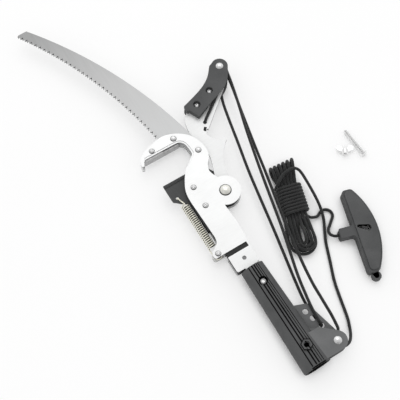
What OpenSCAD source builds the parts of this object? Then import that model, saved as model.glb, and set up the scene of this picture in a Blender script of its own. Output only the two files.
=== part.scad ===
// Tree pruner head: hook frame with saw and rope-pulled cutting lever, pole socket,
// three-part rope tackle, rope hank and T-handle. Millimetres.
// +Y runs along the socket's axis to the head, +Z out of the face that shows,
// and the origin is the centre of the socket's mouth.

/* [Pole socket] */
// Length of the moulded socket
socket_l = 178; // [150:1:210]
// Width over the mouth
mouth_d = 46; // [44:0.5:54]
// Width over the neck
neck_d = 38; // [36:0.5:46]
// Bore for the pole
pole_d = 33; // [28:0.5:35]
// Depth of the bore
pole_depth = 120; // [90:1:125]
// Height of the clamp hole above the mouth
clamp_y = 34; // [20:1:45]
// Clamp hole
clamp_d = 7; // [6:0.1:8]
// Hexagon boss round the clamp hole, across corners
hex_d = 19; // [17:0.5:22]
// Depth of the lengthwise grooves
groove_h = 1.3; // [0.4:0.1:1.6]

/* [Rope flanges] */
// Thickness of a flange
flange_t = 3; // [2:0.5:4]
// Space between the flanges
flange_gap = 13; // [11:0.5:16]
// Lower axle, sideways from the socket axis
lower_x = 45.5; // [43:0.5:49]
// Lower axle, above the mouth
lower_y = 17; // [16:0.5:20]
// Radius of the flange end
flange_r = 15; // [14:0.5:17]
// Rope eyes in the back flange
eye_d = 9; // [8:0.5:11]

/* [Hook frame] */
// Thickness of a hook plate
plate_t = 2.5; // [2:0.1:3.5]
// Space between the plates
frame_gap = 14; // [13:0.5:17]
// Radius of the boss round the pivot
boss_r = 25; // [22:0.5:27]
// Width of the tang in the socket
tang_w = 22; // [18:0.5:24]
// Length of the tang in the socket
tang_l = 43; // [36:1:46]
// Radius of the spring ear
ear_r = 9; // [7.5:0.5:10]
// Width of the lip along the throat
lip_w = 3; // [1.5:0.5:4]
// Shank of the main pivot
pivot_d = 12; // [10:0.5:13]
// Head of the main pivot
pivot_head_d = 20; // [17:0.5:22]
// Shank of the rivets
rivet_d = 6; // [5:0.5:7]
// Shank of the screws
screw_d = 5; // [4:0.5:6]

/* [Saw] */
// Thickness of the saw
saw_t = 1.2; // [0.8:0.1:1.6]
// Tooth pitch
tooth_pitch = 4.5; // [4:0.5:8]
// Tooth height
tooth_h = 5.2; // [2:0.2:6]

/* [Lever] */
// Thickness of the lever arm
arm_t = 4; // [3:0.5:4.5]
// Thickness of the cutting blade
blade_t = 3.5; // [2.5:0.5:4]
// Width of the ground cutting edge
bevel_w = 5; // [3:0.5:8]
// Rope hole in the lever
rope_hole_d = 6.4; // [5.5:0.2:8]

/* [Pulleys] */
// Pulley diameter
pulley_d = 25; // [23:0.5:26]
// Pulley width
pulley_w = 6.5; // [6:0.1:7]
// Axle shank
axle_d = 6; // [5:0.5:7]
// Thickness of a cheek
cheek_t = 3; // [2:0.5:4]

/* [Rope and spring] */
// Rope
rope_d = 4.8; // [4:0.2:4.8]
// Outer diameter of the spring
spring_d = 14; // [12:0.5:14.5]
// Spring wire
wire_d = 2; // [1.4:0.1:2.2]

/* [Pull handle] */
// Length of the bar
handle_l = 140; // [120:1:160]
// Thickness
handle_t = 24; // [18:1:26]
// Width of the stem
stem_w = 16; // [14:0.5:20]
// Length of the stem below the bar
stem_l = 24; // [18:1:26]

/* [Clamp bolt] */
// Length under the head
bolt_l = 48; // [40:1:60]
// Width of the wing nut
wing_w = 28; // [22:1:34]

/* [Hidden] */
$fn = 64;
slip = 0.4;
run = 0.05;
seat = 0.01;
e = 0.1;
table = -mouth_d / 2;
zf = frame_gap / 2;
top = zf + plate_t;
pivot = [32, socket_l + 128];
pocket_w = tang_w + 0.4;
pocket_h = 2 * top + 0.4;
pocket_l = tang_l + 1;
tang_screw_y = socket_l - tang_l + 13.5;
seat_z = top + 4;
upper = pivot + [110, 194];
z_front = arm_t + slip + pulley_w / 2;
z_back = -slip - pulley_w / 2;
cheek_zf = arm_t + 2 * slip + pulley_w;
cheek_zb = -2 * slip - pulley_w;
eye3 = [42, 50];
rope_r = rope_d / 2;
wind_r = pulley_d / 2 - 2.5;
beak_rivet_at = [8, socket_l + 248];
saw_rivet_at = [32, socket_l + 210];
beak_screw_at = [-33, socket_l + 247];
guide_screws_at = [[-8.5, socket_l + 158], [-8.5, socket_l + 122]];
ear_at = [-33.5, socket_l + 44.5];
cheek_screws_at = [pivot + [71, 163.5], pivot + [40, 152]];
plate_pin_at = [-3, socket_l + 18];
plate_pin_d = 6.6;
blade_rivets_at = [pivot + [-1, 22], pivot + [12, -16]];

function unit(v) = v / norm(v);
function cr(a, b, c, d, t) = 0.5 * (2 * b + (c - a) * t + (2 * a - 5 * b + 4 * c - d) * t * t
    + (3 * b - a - 3 * c + d) * t * t * t);
function curve(p, n) = concat([for (i = [0 : len(p) - 2], k = [0 : n - 1])
    cr(p[max(i - 1, 0)], p[i], p[i + 1], p[min(i + 2, len(p) - 1)], k / n)], [p[len(p) - 1]]);
function arc(c, r, a, b, n) = [for (i = [0 : n]) let (t = a + (b - a) * i / n)
    c + r * [cos(t), sin(t)]];
function lift(p, z) = [for (q = p) [q.x, q.y, z]];
function tang(p, a, b) = let (m = len(p) - 1) [for (i = [0 : m])
    i == 0 && !is_undef(a) ? unit(a) : i == m && !is_undef(b) ? unit(b)
    : unit(p[min(i + 1, m)] - p[max(i - 1, 0)])];
function carried(t, i, r) = i == len(t) ? []
    : let (q = unit(r - (r * t[i]) * t[i])) concat([q], carried(t, i + 1, q));
function least_gap(p, skip, d) = min([for (i = [0 : len(p) - 1])
    for (j = [i + skip : 1 : len(p) - 1]) norm(p[i] - p[j])]) - d;

// A round tube along a path, with the cut direction of each end.
module tube(p, r, n, up, a, b) {
    t = tang(p, a, b);
    f = carried(t, 0, up);
    m = len(p);
    pts = [for (i = [0 : m - 1]) let (g = cross(t[i], f[i])) for (k = [0 : n - 1])
        p[i] + r * (cos(360 * k / n) * f[i] + sin(360 * k / n) * g)];
    sides = [for (i = [0 : m - 2], k = [0 : n - 1]) let (q = i * n + k, s = i * n + (k + 1) % n)
        each [[q, q + n, s + n], [q, s + n, s]]];
    polyhedron(pts, concat([[for (k = [0 : n - 1]) k]],
        [[for (k = [n - 1 : -1 : 0]) (m - 1) * n + k]], sides), 12);
}
module at(p) translate([p.x, p.y, 0]) children();
module slab(z0, z1) translate([0, 0, z0]) linear_extrude(z1 - z0) children();
module rod(p, r, z0, z1) translate([p.x, p.y, z0]) cylinder(r = r, h = z1 - z0);
module along_y(y0, y1, r1, r2) translate([0, y0, 0]) rotate([-90, 0, 0])
    cylinder(r1 = r1, r2 = r2, h = y1 - y0);
module dome(p, d, z, h) translate([p.x, p.y, z]) intersection() {
    cylinder(d = d, h = h);
    translate([0, 0, h - (d * d / 4 + h * h) / (2 * h)]) sphere(r = (d * d / 4 + h * h) / (2 * h));
}
module cross_head(p, d, z, h) difference() {
    dome(p, d, z, h);
    for (a = [20, 110]) translate([p.x, p.y, z + h]) rotate(a)
        cube([d * 0.55, d * 0.13, h], center = true);
}

// Socket
module flange_end() translate([lower_x, lower_y]) circle(flange_r);
module front_flange() {
    polygon([[0, 62], [36, 45.5], [lower_x, lower_y] + flange_r * [cos(45), sin(45)],
        [lower_x, lower_y], [lower_x, lower_y - flange_r], [0, lower_y - flange_r]]);
    flange_end();
}
module back_flange() {
    polygon([[0, 98], [24, 96.5], [43, 89], [47, 71],
        [lower_x, lower_y] + flange_r * [cos(32), sin(32)],
        [lower_x, lower_y], [lower_x, lower_y - flange_r], [0, lower_y - flange_r]]);
    flange_end();
}
module socket() color("#3a3d3d") difference() {
    g = flange_gap / 2;
    slope = atan((mouth_d - neck_d) / 2 / socket_l);
    union() {
        along_y(0, 2, mouth_d / 2 - 1.5, mouth_d / 2);
        along_y(2, socket_l, mouth_d / 2, neck_d / 2);
        slab(g, g + flange_t) front_flange();
        slab(-g - flange_t, -g) back_flange();
        for (z = [pulley_w / 2 + slip, -g - e]) rod([lower_x, lower_y], axle_d / 2 + 3,
            z, z + g + e - pulley_w / 2 - slip);
        translate([0, clamp_y, 0]) rotate(30) cylinder(d = hex_d, h = mouth_d / 2 + 1.8, $fn = 6);
        // sloped gusset from the crest to the front flange
        translate([0, 48, 0]) rotate([90, 0, 0]) linear_extrude(48 - lower_y + flange_r)
            polygon([[10, g], [10, mouth_d / 2 - 4], [34, g + flange_t], [34, g]]);
    }
    for (k = [0, 1]) mirror([0, 0, k]) for (q = [[-26, 2], [-9, 2.4], [3, 2.4], [14, 1.4], [24, 1.4]])
        rotate([0, q[0], 0])
        translate([0, 0, mouth_d / 2]) rotate([-slope, 0, 0])
            translate([-q[1] / 2, 3, -groove_h]) cube([q[1], socket_l, 4]);
    along_y(-e, pole_depth, pole_d / 2, pole_d / 2);
    translate([-pocket_w / 2, socket_l - pocket_l, -pocket_h / 2])
        cube([pocket_w, pocket_l + e, pocket_h]);
    rod([0, clamp_y], clamp_d / 2, -mouth_d, mouth_d);
    rod([0, clamp_y], clamp_d / 2 + 1.3, mouth_d / 2 - 0.2, mouth_d);
    rod([0, tang_screw_y], screw_d / 2 + 0.3, -mouth_d, mouth_d);
    rod([0, tang_screw_y], 7.2, seat_z, mouth_d);
    translate([0, tang_screw_y, -mouth_d]) cylinder(d = 12, h = mouth_d - seat_z, $fn = 6);
    rod([lower_x, lower_y], axle_d / 2 + seat, -mouth_d, mouth_d);
    for (p = [[33, 80], [37, 66], eye3]) rod(p, eye_d / 2, -g - flange_t - e, -g + e);
}
module tang_core() color("#2c2f2f") difference() {
    slab(-zf, zf) translate([0, socket_l]) {
        translate([-tang_w / 2, -tang_l]) square([tang_w, tang_l + 10]);
        polygon([[-22.5, 3], [13, 3], [18, 70], [17, 84], [-22.5, 84]]);
    }
    rod([0, tang_screw_y], screw_d / 2 + 0.1, -mouth_d, mouth_d);
    rod(plate_pin_at, plate_pin_d / 2 + seat, -mouth_d, mouth_d);
}

// Hook plates
function throat(o) = concat([[-49, 239.5 + o]], curve([[6, 239 + o], [13 + 0.4 * o, 237.5 + 0.9 * o],
    [19 + 0.8 * o, 230 + 0.6 * o], [20.5 + o, 214], [19.5 + 0.9 * o, 209 - 0.4 * o],
    [15 + 0.6 * o, 205 - 0.8 * o], [10 + 0.6 * o, 201 - 0.8 * o]], 4),
    curve([[-1.5, 192.5], [-7, 186], [-14, 176], [-22, 160.5], [-25, 145], [-25, 125]], 4));
module hook_slab(z0, z1, o) difference() {
    union() {
        slab(z0, z1) translate([-tang_w / 2, socket_l - tang_l]) square([tang_w, tang_l + 10]);
        slab(z0, z1) translate([0, socket_l]) polygon([[-22.5, 3], [14, 3], [19.5, 72], [18, 102],
            [18, 130], [-25, 130], [-24, 77], [-24, 62], [-24.5, 5]]);
        rod(pivot, boss_r, z0, z1);
        rod(ear_at, ear_r, z0, z1);
        slab(z0, z1) translate([0, socket_l]) polygon(concat(
            curve([[-39, 51], [-31, 56], [-26, 61], [-24, 68]], 4), [[-18, 68], [-18, 39], [-30, 37]]));
        slab(z0, z1) translate([0, socket_l]) polygon(concat(curve([[34, 152], [29.5, 162],
            [28, 171], [32, 180.5], [39.5, 190], [43.5, 199], [44, 213.5], [39.5, 229.5],
            [31, 242.5], [16, 254], [-2, 260.5], [-17, 260], [-34.5, 255.5], [-47, 250.5],
            [-57, 242.5], [-60.6, 231]], 4), [[-56.5, 229.5], [-53, 236.5]], throat(o),
            [[0, 120], [32, 128]]));
    }
    translate([-50, socket_l + 31, z0 - e]) cube([63.5, 8, z1 - z0 + 2 * e]);
    rod(plate_pin_at, plate_pin_d / 2 + seat, z0 - e, z1 + e);
    rod(pivot, pivot_d / 2 + seat, z0 - e, z1 + e);
    rod(beak_rivet_at, rivet_d / 2 + seat, z0 - e, z1 + e);
    for (p = concat([ear_at, beak_screw_at], guide_screws_at))
        rod(p, screw_d / 2 + seat, z0 - e, z1 + e);
    rod([0, tang_screw_y], screw_d / 2 + 0.1, z0 - e, z1 + e);
}
module front_hook_plate() color("#d9dcdb") difference() {
    union() {
        hook_slab(zf, zf + plate_t * 0.6, 0);
        hook_slab(zf + plate_t * 0.6 - e, top, lip_w);
    }
    rod(saw_rivet_at, rivet_d / 2 + seat, zf - e, top + e);
}
module back_hook_plate() color("#c9cccb") hook_slab(-top, -zf, 0);
module hook_block() color("#8f9492") difference() {
    block = concat(curve([[18, 247], [8, 256], [-4, 258], [-17, 257.5], [-33, 253], [-45, 248],
        [-54, 240.5], [-57.5, 232.5]], 4), [[-54, 236], [-48, 235.5], [10, 235.5]]);
    union() {
        slab(-zf, zf - saw_t) translate([0, socket_l]) polygon(block);
        slab(-zf, zf) translate([0, socket_l]) intersection() {
            polygon(block);
            translate([-70, 200]) square([52, 100]);
        }
    }
    rod(beak_rivet_at, rivet_d / 2 + seat, -top, top);
    rod(beak_screw_at, screw_d / 2 + seat, -top, top);
}
module guide(z0, z1) {
    slab(z0, z1) translate([0, socket_l]) polygon([[-26.3, 84], [17, 84], [17, 110], [34, 150],
        [24, 172], [-13, 172], [-21.5, 158], [-26.3, 145]]);
    rod(pivot, boss_r - 2, z0, z1);
}
module blade_guide_front() color("#2c2f2f") difference() {
    guide(arm_t + slip, zf);
    rod(pivot, pivot_d / 2 + seat, -top, top);
    for (p = guide_screws_at) rod(p, screw_d / 2 + seat, -top, top);
}
module blade_guide_back() color("#2c2f2f") difference() {
    guide(-zf, -blade_t - slip);
    rod(pivot, pivot_d / 2 + seat, -top, top);
    for (p = guide_screws_at) rod(p, screw_d / 2 + seat, -top, top);
}

// Saw: back and tooth line are arcs, the root lies under the front plate
saw_back_ends = [[35.1, 250.7], [-101.6, 556.3]];
saw_back_r = 805;
saw_tooth_ends = [[-15.5, 260.2], [-124.2, 557.4]];
saw_front_r = 735;
function bow_c(q, r) = let (d = q[1] - q[0])
    (q[0] + q[1]) / 2 + sqrt(r * r - d * d / 4) * unit([-d.y, d.x]);
function bow_a(q, r, i) = let (d = q[i] - bow_c(q, r)) atan2(d.y, d.x);
saw_a0 = bow_a(saw_tooth_ends, saw_front_r, 0);
saw_a1 = bow_a(saw_tooth_ends, saw_front_r, 1);
saw_teeth = floor(saw_front_r * (saw_a1 - saw_a0) * PI / 180 / tooth_pitch);
saw_step = tooth_pitch / saw_front_r * 180 / PI;
module saw_blade() color("#b9bdbb") difference() {
    slab(zf - saw_t, zf) translate([0, socket_l]) polygon(concat(
        arc(bow_c(saw_back_ends, saw_back_r), saw_back_r, bow_a(saw_back_ends, saw_back_r, 0),
            bow_a(saw_back_ends, saw_back_r, 1), 24),
        [for (i = [saw_teeth - 1 : -1 : 0], q = [0.75, 0.05])
            let (a = saw_a0 + (i + q) * saw_step, r = saw_front_r + (q < 0.4 ? 0 : tooth_h))
            bow_c(saw_tooth_ends, saw_front_r) + r * [cos(a), sin(a)]],
        [[-14, 246], [18, 244], [24, 234], [25.5, 203], [38.5, 203], [39, 228]]));
    rod(beak_rivet_at, rivet_d / 2 + seat, 0, top);
    rod(saw_rivet_at, rivet_d / 2 + seat, 0, top);
}

// Fasteners of the frame
module beak_rivet() color("#e4e6e4") {
    rod(beak_rivet_at, rivet_d / 2, -top, top);
    dome(beak_rivet_at, rivet_d * 1.75, top, rivet_d * 0.5);
    mirror([0, 0, 1]) dome(beak_rivet_at, rivet_d * 1.75, top, rivet_d * 0.4);
}
module saw_rivet() color("#e4e6e4") {
    rod(saw_rivet_at, rivet_d / 2, zf - saw_t, top);
    dome(saw_rivet_at, rivet_d * 1.75, top, rivet_d * 0.5);
    rod(saw_rivet_at, rivet_d * 0.75, arm_t + slip, zf - saw_t);
}
module plate_screws() color("#dcdedb") for (k = [0, 1], p = guide_screws_at) mirror([0, 0, k]) {
    rod(p, screw_d / 2, arm_t + slip + 0.2, top);
    cross_head(p, screw_d * 1.9, top, screw_d * 0.55);
}
module beak_screw() color("#dcdedb") {
    rod(beak_screw_at, screw_d / 2, -top - 4.5, top);
    cross_head(beak_screw_at, screw_d * 1.9, top, screw_d * 0.55);
}
module ear_screw() color("#dcdedb") {
    rod(ear_at, screw_d / 2, -top - 4.5, top);
    cross_head(ear_at, screw_d * 1.9, top, screw_d * 0.55);
}
module ear_sleeve() color("#c5c8c5") difference() {
    rod(ear_at, screw_d / 2 + 1.5, -zf, zf);
    rod(ear_at, screw_d / 2 + seat, -top, top);
}
module screw_nuts() color("#c5c8c5") for (p = [beak_screw_at, ear_at]) difference() {
    translate([p.x, p.y, -top - 4]) cylinder(d = screw_d * 1.85, h = 4, $fn = 6);
    rod(p, screw_d / 2 + seat, -top - 5, -zf);
}
module pivot_rivet() color("#d6d3bf") {
    rod(pivot, pivot_d / 2, -top, top);
    dome(pivot, pivot_head_d, top, 4.2);
    mirror([0, 0, 1]) dome(pivot, pivot_head_d, top, 3.4);
}
module plate_pin() color("#dcdedb") rod(plate_pin_at, plate_pin_d / 2, -top + 0.8, top - 0.8);
module tang_screw() color("#dcdedb") difference() {
    union() {
        rod([0, tang_screw_y], screw_d / 2, -seat_z - 4, seat_z);
        dome([0, tang_screw_y], screw_d * 2.3, seat_z, 3.6);
    }
    rod([0, tang_screw_y], screw_d * 0.5, seat_z + 1.6, seat_z + 6);
}
module tang_nut() color("#c5c8c5") difference() {
    translate([0, tang_screw_y, -seat_z - 3.6]) cylinder(d = screw_d * 1.85, h = 3.6, $fn = 6);
    rod([0, tang_screw_y], screw_d / 2 + seat, -mouth_d, 0);
}

// Pulleys
module pulley(p, z) translate([p.x, p.y, z]) difference() {
    cylinder(d = pulley_d, h = pulley_w, center = true);
    cylinder(d = axle_d + 2 * run, h = pulley_w + 1, center = true);
    rotate_extrude() {
        translate([wind_r, 0]) circle(rope_r + 0.3);
        polygon([[wind_r, -rope_r - 0.3], [pulley_d / 2 + 1, -pulley_w / 2 + 0.4],
            [pulley_d / 2 + 1, pulley_w / 2 - 0.4], [wind_r, rope_r + 0.3]]);
    }
    for (a = [0 : 72 : 288]) rotate(a) translate([axle_d / 2 + 1.9, 0, 0])
        cylinder(r = 0.9, h = pulley_w + 1, center = true, $fn = 24);
}
module lower_pulley() color("#2f3232") pulley([lower_x, lower_y], 0);
module front_pulley() color("#2f3232") pulley(upper, z_front);
module back_pulley() color("#2f3232") pulley(upper, z_back);
module lower_axle() color("#e4e6e4") {
    z = flange_gap / 2 + flange_t;
    rod([lower_x, lower_y], axle_d / 2, -z, z);
    dome([lower_x, lower_y], axle_d * 2.2, z, 3);
    mirror([0, 0, 1]) dome([lower_x, lower_y], axle_d * 2.2, z, 2.6);
}
module upper_axle() color("#e4e6e4") {
    rod(upper, axle_d / 2, cheek_zb - cheek_t, cheek_zf + cheek_t);
    dome(upper, axle_d * 2.1, cheek_zf + cheek_t, 2.6);
    mirror([0, 0, 1]) dome(upper, axle_d * 2.1, cheek_t - cheek_zb, 2.2);
}

// Lever
module lever_arm() color("#d3d6d4") difference() {
    union() {
        rod(pivot, boss_r - 6, 0, arm_t);
        rod(upper, 12.5, 0, arm_t);
        slab(0, arm_t) translate(pivot) polygon(concat(curve([[-2, 18], [0.5, 33], [9, 56],
            [12, 74], [9.5, 94], [5, 114], [7, 131.5], [12, 143], [22, 153], [41, 164], [60, 171],
            [73, 178], [84, 187], [98, 198]], 4), [[110, 204], [119, 190], [108, 171], [96, 158],
            [43, 114]], curve([[32, 105], [28.5, 101], [31.5, 91], [37, 83.5], [43, 80.5],
            [48, 83]], 4), [[51, 84]],
            curve([[50.5, 76], [43.5, 70], [32, 56], [24, 41], [19, 18], [18, 4]], 4)));
    }
    rod(pivot, pivot_d / 2 + run, -1, arm_t + 1);
    rod(upper, axle_d / 2 + seat, -1, arm_t + 1);
    rod(pivot + [36.7, 121], rope_hole_d / 2, -1, arm_t + 1);
    slab(-1, arm_t + 1) translate(pivot + [29.5, 109.5]) rotate(-45) {
        circle(2.4, $fn = 24);
        translate([0, -2.4]) square([5.2, 4.8]);
        translate([-2.4, 0]) square([4.8, 5.2]);
    }
    for (p = blade_rivets_at) rod(p, 2.5 + seat, -1, arm_t + 1);
    for (p = cheek_screws_at) rod(p, screw_d / 2 + seat, -1, arm_t + 1);
}
module cutting_blade() color("#4b5150") difference() {
    union() {
        rod(pivot, boss_r - 6, -blade_t, 0);
        slab(-blade_t, 0) translate(pivot) polygon(concat([[10, 30], [-8, 60.3], [-79.4, 60.3]],
            curve([[-79.6, 34], [-79, 28.5], [-75, 25.2], [-66, 17.5], [-40, 3], [-14, -4]], 4)));
    }
    translate([pivot.x - 100, pivot.y + 60.3, 0]) rotate([atan(blade_t * 0.8 / bevel_w), 0, 0])
        translate([0, -bevel_w * 1.2, 0]) translate([0, 0, bevel_w * 0.12]) cube([92, 20, 10]);
    rod(pivot, pivot_d / 2 + run, -9, 1);
    rod(pivot + [-70, 31], wire_d / 2 + 1.6, -9, 1);
    for (p = blade_rivets_at) rod(p, 2.5 + seat, -9, 1);
}
module blade_rivets() color("#b5b8b5") for (p = blade_rivets_at) rod(p, 2.5, -blade_t, arm_t);
module cheek_plate(z0, z1) {
    rod(upper, 14, z0, z1);
    slab(z0, z1) translate(pivot) polygon(concat(curve([[20, 159.5], [41, 166], [60, 173],
        [73, 180], [84, 189], [95, 202.5]], 4), [upper - pivot + 14 * [cos(125), sin(125)],
        upper - pivot, upper - pivot + 14 * [cos(-15), sin(-15)]],
        curve([[117, 178.5], [109, 167], [99, 158.5], [84, 151.5], [31.5, 131]], 4),
        [[24, 148], [20, 149.5]]));
}
module cheek_foot(z0, z1) {
    slab(z0, z1) translate(pivot) polygon([[20, 159.5], [41, 166], [60, 173], [64, 171], [62, 150],
        [54, 141], [34, 132], [31.5, 131], [24, 148], [20, 149.5]]);
    rod(cheek_screws_at[0], 8, z0, z1);
}
module front_cheek() color("#3a3d3d") difference() {
    union() {
        cheek_plate(cheek_zf, cheek_zf + cheek_t);
        cheek_foot(arm_t, cheek_zf + e);
    }
    rod(upper, axle_d / 2 + seat, 0, 30);
    for (p = cheek_screws_at) {
        rod(p, screw_d / 2 + seat, 0, 30);
        rod(p, 6.2, cheek_zf - 2.5, 30);
    }
}
module back_cheek() color("#3a3d3d") difference() {
    union() {
        cheek_plate(cheek_zb - cheek_t, cheek_zb);
        cheek_foot(cheek_zb - e, 0);
    }
    rod(upper, axle_d / 2 + seat, -30, 1);
    for (p = cheek_screws_at) {
        rod(p, screw_d / 2 + seat, -30, 1);
        translate([p.x, p.y, -30]) cylinder(d = screw_d * 1.85 + 1.4, h = 30 + cheek_zb + 1, $fn = 6);
    }
}
module cheek_screws() color("#dcdedb") for (p = cheek_screws_at) {
    rod(p, screw_d / 2, cheek_zb - 2.6, cheek_zf - 2.5);
    cross_head(p, screw_d * 1.9, cheek_zf - 2.5, screw_d * 0.55);
}
module cheek_nuts() color("#c5c8c5") for (p = cheek_screws_at) difference() {
    translate([p.x, p.y, cheek_zb - 2.6]) cylinder(d = screw_d * 1.85, h = 3.6, $fn = 6);
    rod(p, screw_d / 2 + seat, -30, 0);
}

// Return spring: coils with a hook through the blade hole and one round the ear sleeve
spring_x = -34;
spring_y = [socket_l + 61, socket_l + 143];
spring_n = 23;
spring_z = -1.75;
function coil(i) = let (a = 180 - 45 * i, r = spring_d / 2 - wire_d / 2)
    [spring_x + r * cos(a), spring_y[0] + (spring_y[1] - spring_y[0]) * i / (8 * spring_n + 2),
        spring_z + r * sin(a)];
spring_hole = pivot + [-70, 31];
spring_path = concat(
    [for (a = [-20 : 20 : 180]) [ear_at.x - (screw_d / 2 + 2.2 + wire_d / 2) * cos(a),
        ear_at.y - (screw_d / 2 + 2.2 + wire_d / 2) * sin(a), spring_z]],
    []);
spring_run = concat([for (i = [10 : -1 : 1]) spring_path[i]],
    [[ear_at.x - 6.1, ear_at.y + 6, spring_z], [spring_x - 6, spring_y[0] - 4.5, spring_z - 0.3]],
    [for (i = [0 : 8 * spring_n + 2]) coil(i)],
    [[spring_x - 1, spring_y[1] + 3.5, spring_z + 5.4], [spring_x - 2.6, spring_y[1] + 8.5, 2.6],
        [spring_hole.x + 0.5, spring_hole.y - 3.2, 1.7], [spring_hole.x, spring_hole.y - 0.8, 0.9],
        [spring_hole.x, spring_hole.y, -1.4], [spring_hole.x, spring_hole.y, -blade_t - 2]]);
module return_spring() color("#d6d3bf") {
    echo(spring_gap = least_gap([for (i = [0 : 8 * spring_n + 2]) coil(i)], 6, wire_d));
    tube(spring_run, wire_d / 2, 6, [0, 0, 1]);
}

// Rope round the pulleys
front_off = -13.7;
back_on = 168.7;
back_off = -11.5;
function leave(a) = [sin(a), -cos(a), 0];
function on_wheel(a, z) = [upper.x + wind_r * cos(a), upper.y + wind_r * sin(a), z];
module knot() {
    for (z = [-0.475, -1.4]) translate([0, 0, z * rope_d]) rotate_extrude() translate([0.6 * rope_d, 0])
        circle(0.46 * rope_d);
    translate([0, 0, -1.75 * rope_d]) cylinder(r = 0.6 * rope_d, h = 1.75 * rope_d - 0.2);
}
anchor = pivot + [36.7, 121];
module anchor_knot() color("#454848") at(anchor) knot();
module rope_anchor() color("#454848") tube(concat(
    curve([[anchor.x, anchor.y, -0.2], [anchor.x, anchor.y, 3.6],
        [anchor.x + 1.8, anchor.y + 1.3, arm_t + rope_r + 0.3],
        [pivot.x + 44, pivot.y + 127, arm_t + rope_r + 0.7], [pivot.x + 63, pivot.y + 140.5, 7.3],
        [pivot.x + 79, pivot.y + 153, 7.5], [upper.x - 20, upper.y - 25, 7.6], on_wheel(196, z_front)], 3),
    [for (a = [180 : -14 : 12]) on_wheel(a, z_front)], [on_wheel(front_off, z_front)]),
    rope_r, 8, [0.6, -0.8, 0], [0, 0, 1], leave(front_off));
turn_y = eye3.y + 6.4;
// height h on a fall that is 450 from the rope eye to the upper axle
fall_l = 450;
function fall(x, h, z) = [x, eye3.y + h * (upper.y - eye3.y) / fall_l, z];
turn_z = [-flange_gap / 2 + rope_r + 0.4, -flange_gap / 2 - flange_t - rope_r - 0.5];
turn_r = (turn_z[0] - turn_z[1]) / 2;
module rope_front_fall() color("#454848") tube(curve([on_wheel(front_off, z_front),
    on_wheel(front_off, z_front) + 12 * leave(front_off),
    on_wheel(front_off, z_front) + 36 * leave(front_off), fall(132.4, 374, 6.5), fall(116.6, 322, 5.4),
    fall(96.8, 247, 3.6), fall(75.4, 159, 1), fall(55.2, 87, -1.6), fall(47.5, 51, -2.9),
    fall(43.5, 28, -3.5),
    [eye3.x, turn_y + 5, turn_z[0]], [eye3.x, turn_y, turn_z[0]]], 3),
    rope_r, 8, [0, 0, 1], leave(front_off), [0, -1, 0]);
module rope_eye_turn() color("#454848") tube(concat([[eye3.x, turn_y, turn_z[0]]],
    [for (a = [90 : 22.5 : 270]) [eye3.x, eye3.y + 4 + turn_r * cos(a),
        (turn_z[0] + turn_z[1]) / 2 + turn_r * sin(a)]],
    [[eye3.x, turn_y, turn_z[1]]]), rope_r, 8, [1, 0, 0], [0, -1, 0], [0, 1, 0]);
module rope_back_fall() color("#454848") tube(curve([[eye3.x, turn_y, turn_z[1]],
    [eye3.x, turn_y + 6, turn_z[1]], fall(42, 42, -12.3), fall(47, 74, -11.6), fall(58, 128, -10.4),
    fall(67, 173, -9.2), fall(84, 262, -7), fall(97, 318, -5.6), fall(114, 390, -4.2),
    on_wheel(back_on, z_back) - 30 * leave(back_on), on_wheel(back_on, z_back) - 10 * leave(back_on),
    on_wheel(back_on, z_back)], 3),
    rope_r, 8, [0, 0, 1], [0, 1, 0], leave(back_on));
module rope_back_turn() color("#454848") tube(concat([on_wheel(back_on, z_back)],
    [for (a = [154 : -14 : 0]) on_wheel(a, z_back)], [on_wheel(back_off, z_back)]),
    rope_r, 8, [0, 0, 1], leave(back_on), leave(back_off));
lead_r = 2 * rope_d;
lead_a = -14.5;
lead_c = [lower_x + 4.25, lower_y + wind_r + lead_r];
function lead_bend(a) = [lead_c.x + lead_r * cos(a), lead_c.y + lead_r * sin(a), 0];
lead_in = lead_bend(lead_a);
lead_dir = [sin(lead_a), -cos(lead_a), 0];
module rope_lead_fall() color("#454848") tube(curve([on_wheel(back_off, z_back),
    on_wheel(back_off, z_back) + 12 * leave(back_off),
    on_wheel(back_off, z_back) + 36 * leave(back_off), fall(132, 362, -3.3), fall(116, 295, -2.8),
    fall(107, 255, -2.4), fall(95, 205, -2), fall(83, 154, -1.5), fall(72.5, 103, -1),
    fall(66, 62, -0.5), fall(63.6, 30, -0.1), fall(61.8, 4, 0), lead_in], 3),
    rope_r, 8, [0, 0, 1], leave(back_off), lead_dir);

// Hank: bights side by side at the top and nested bends at the foot, bound with the lead's own rope
hank_c = [119, 245];
hank_tilt = 16.7;
hank_step = rope_d + 0.6;
fold_r = 2 * rope_d;
hank_z = table + fold_r + rope_r + 0.1;
spread = [-20, -66];
fan = [25, 52];
tilt_u = [-36, -68];
function hk(u, v, w) = [hank_c.x + u * sin(hank_tilt) + v * cos(hank_tilt),
    hank_c.y + u * cos(hank_tilt) - v * sin(hank_tilt), hank_z + w];
function ease(s) = let (q = min(max(s, 0), 1)) q * q * (3 - 2 * q);
function col(i) = (i - 2.5) * hank_step;
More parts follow.
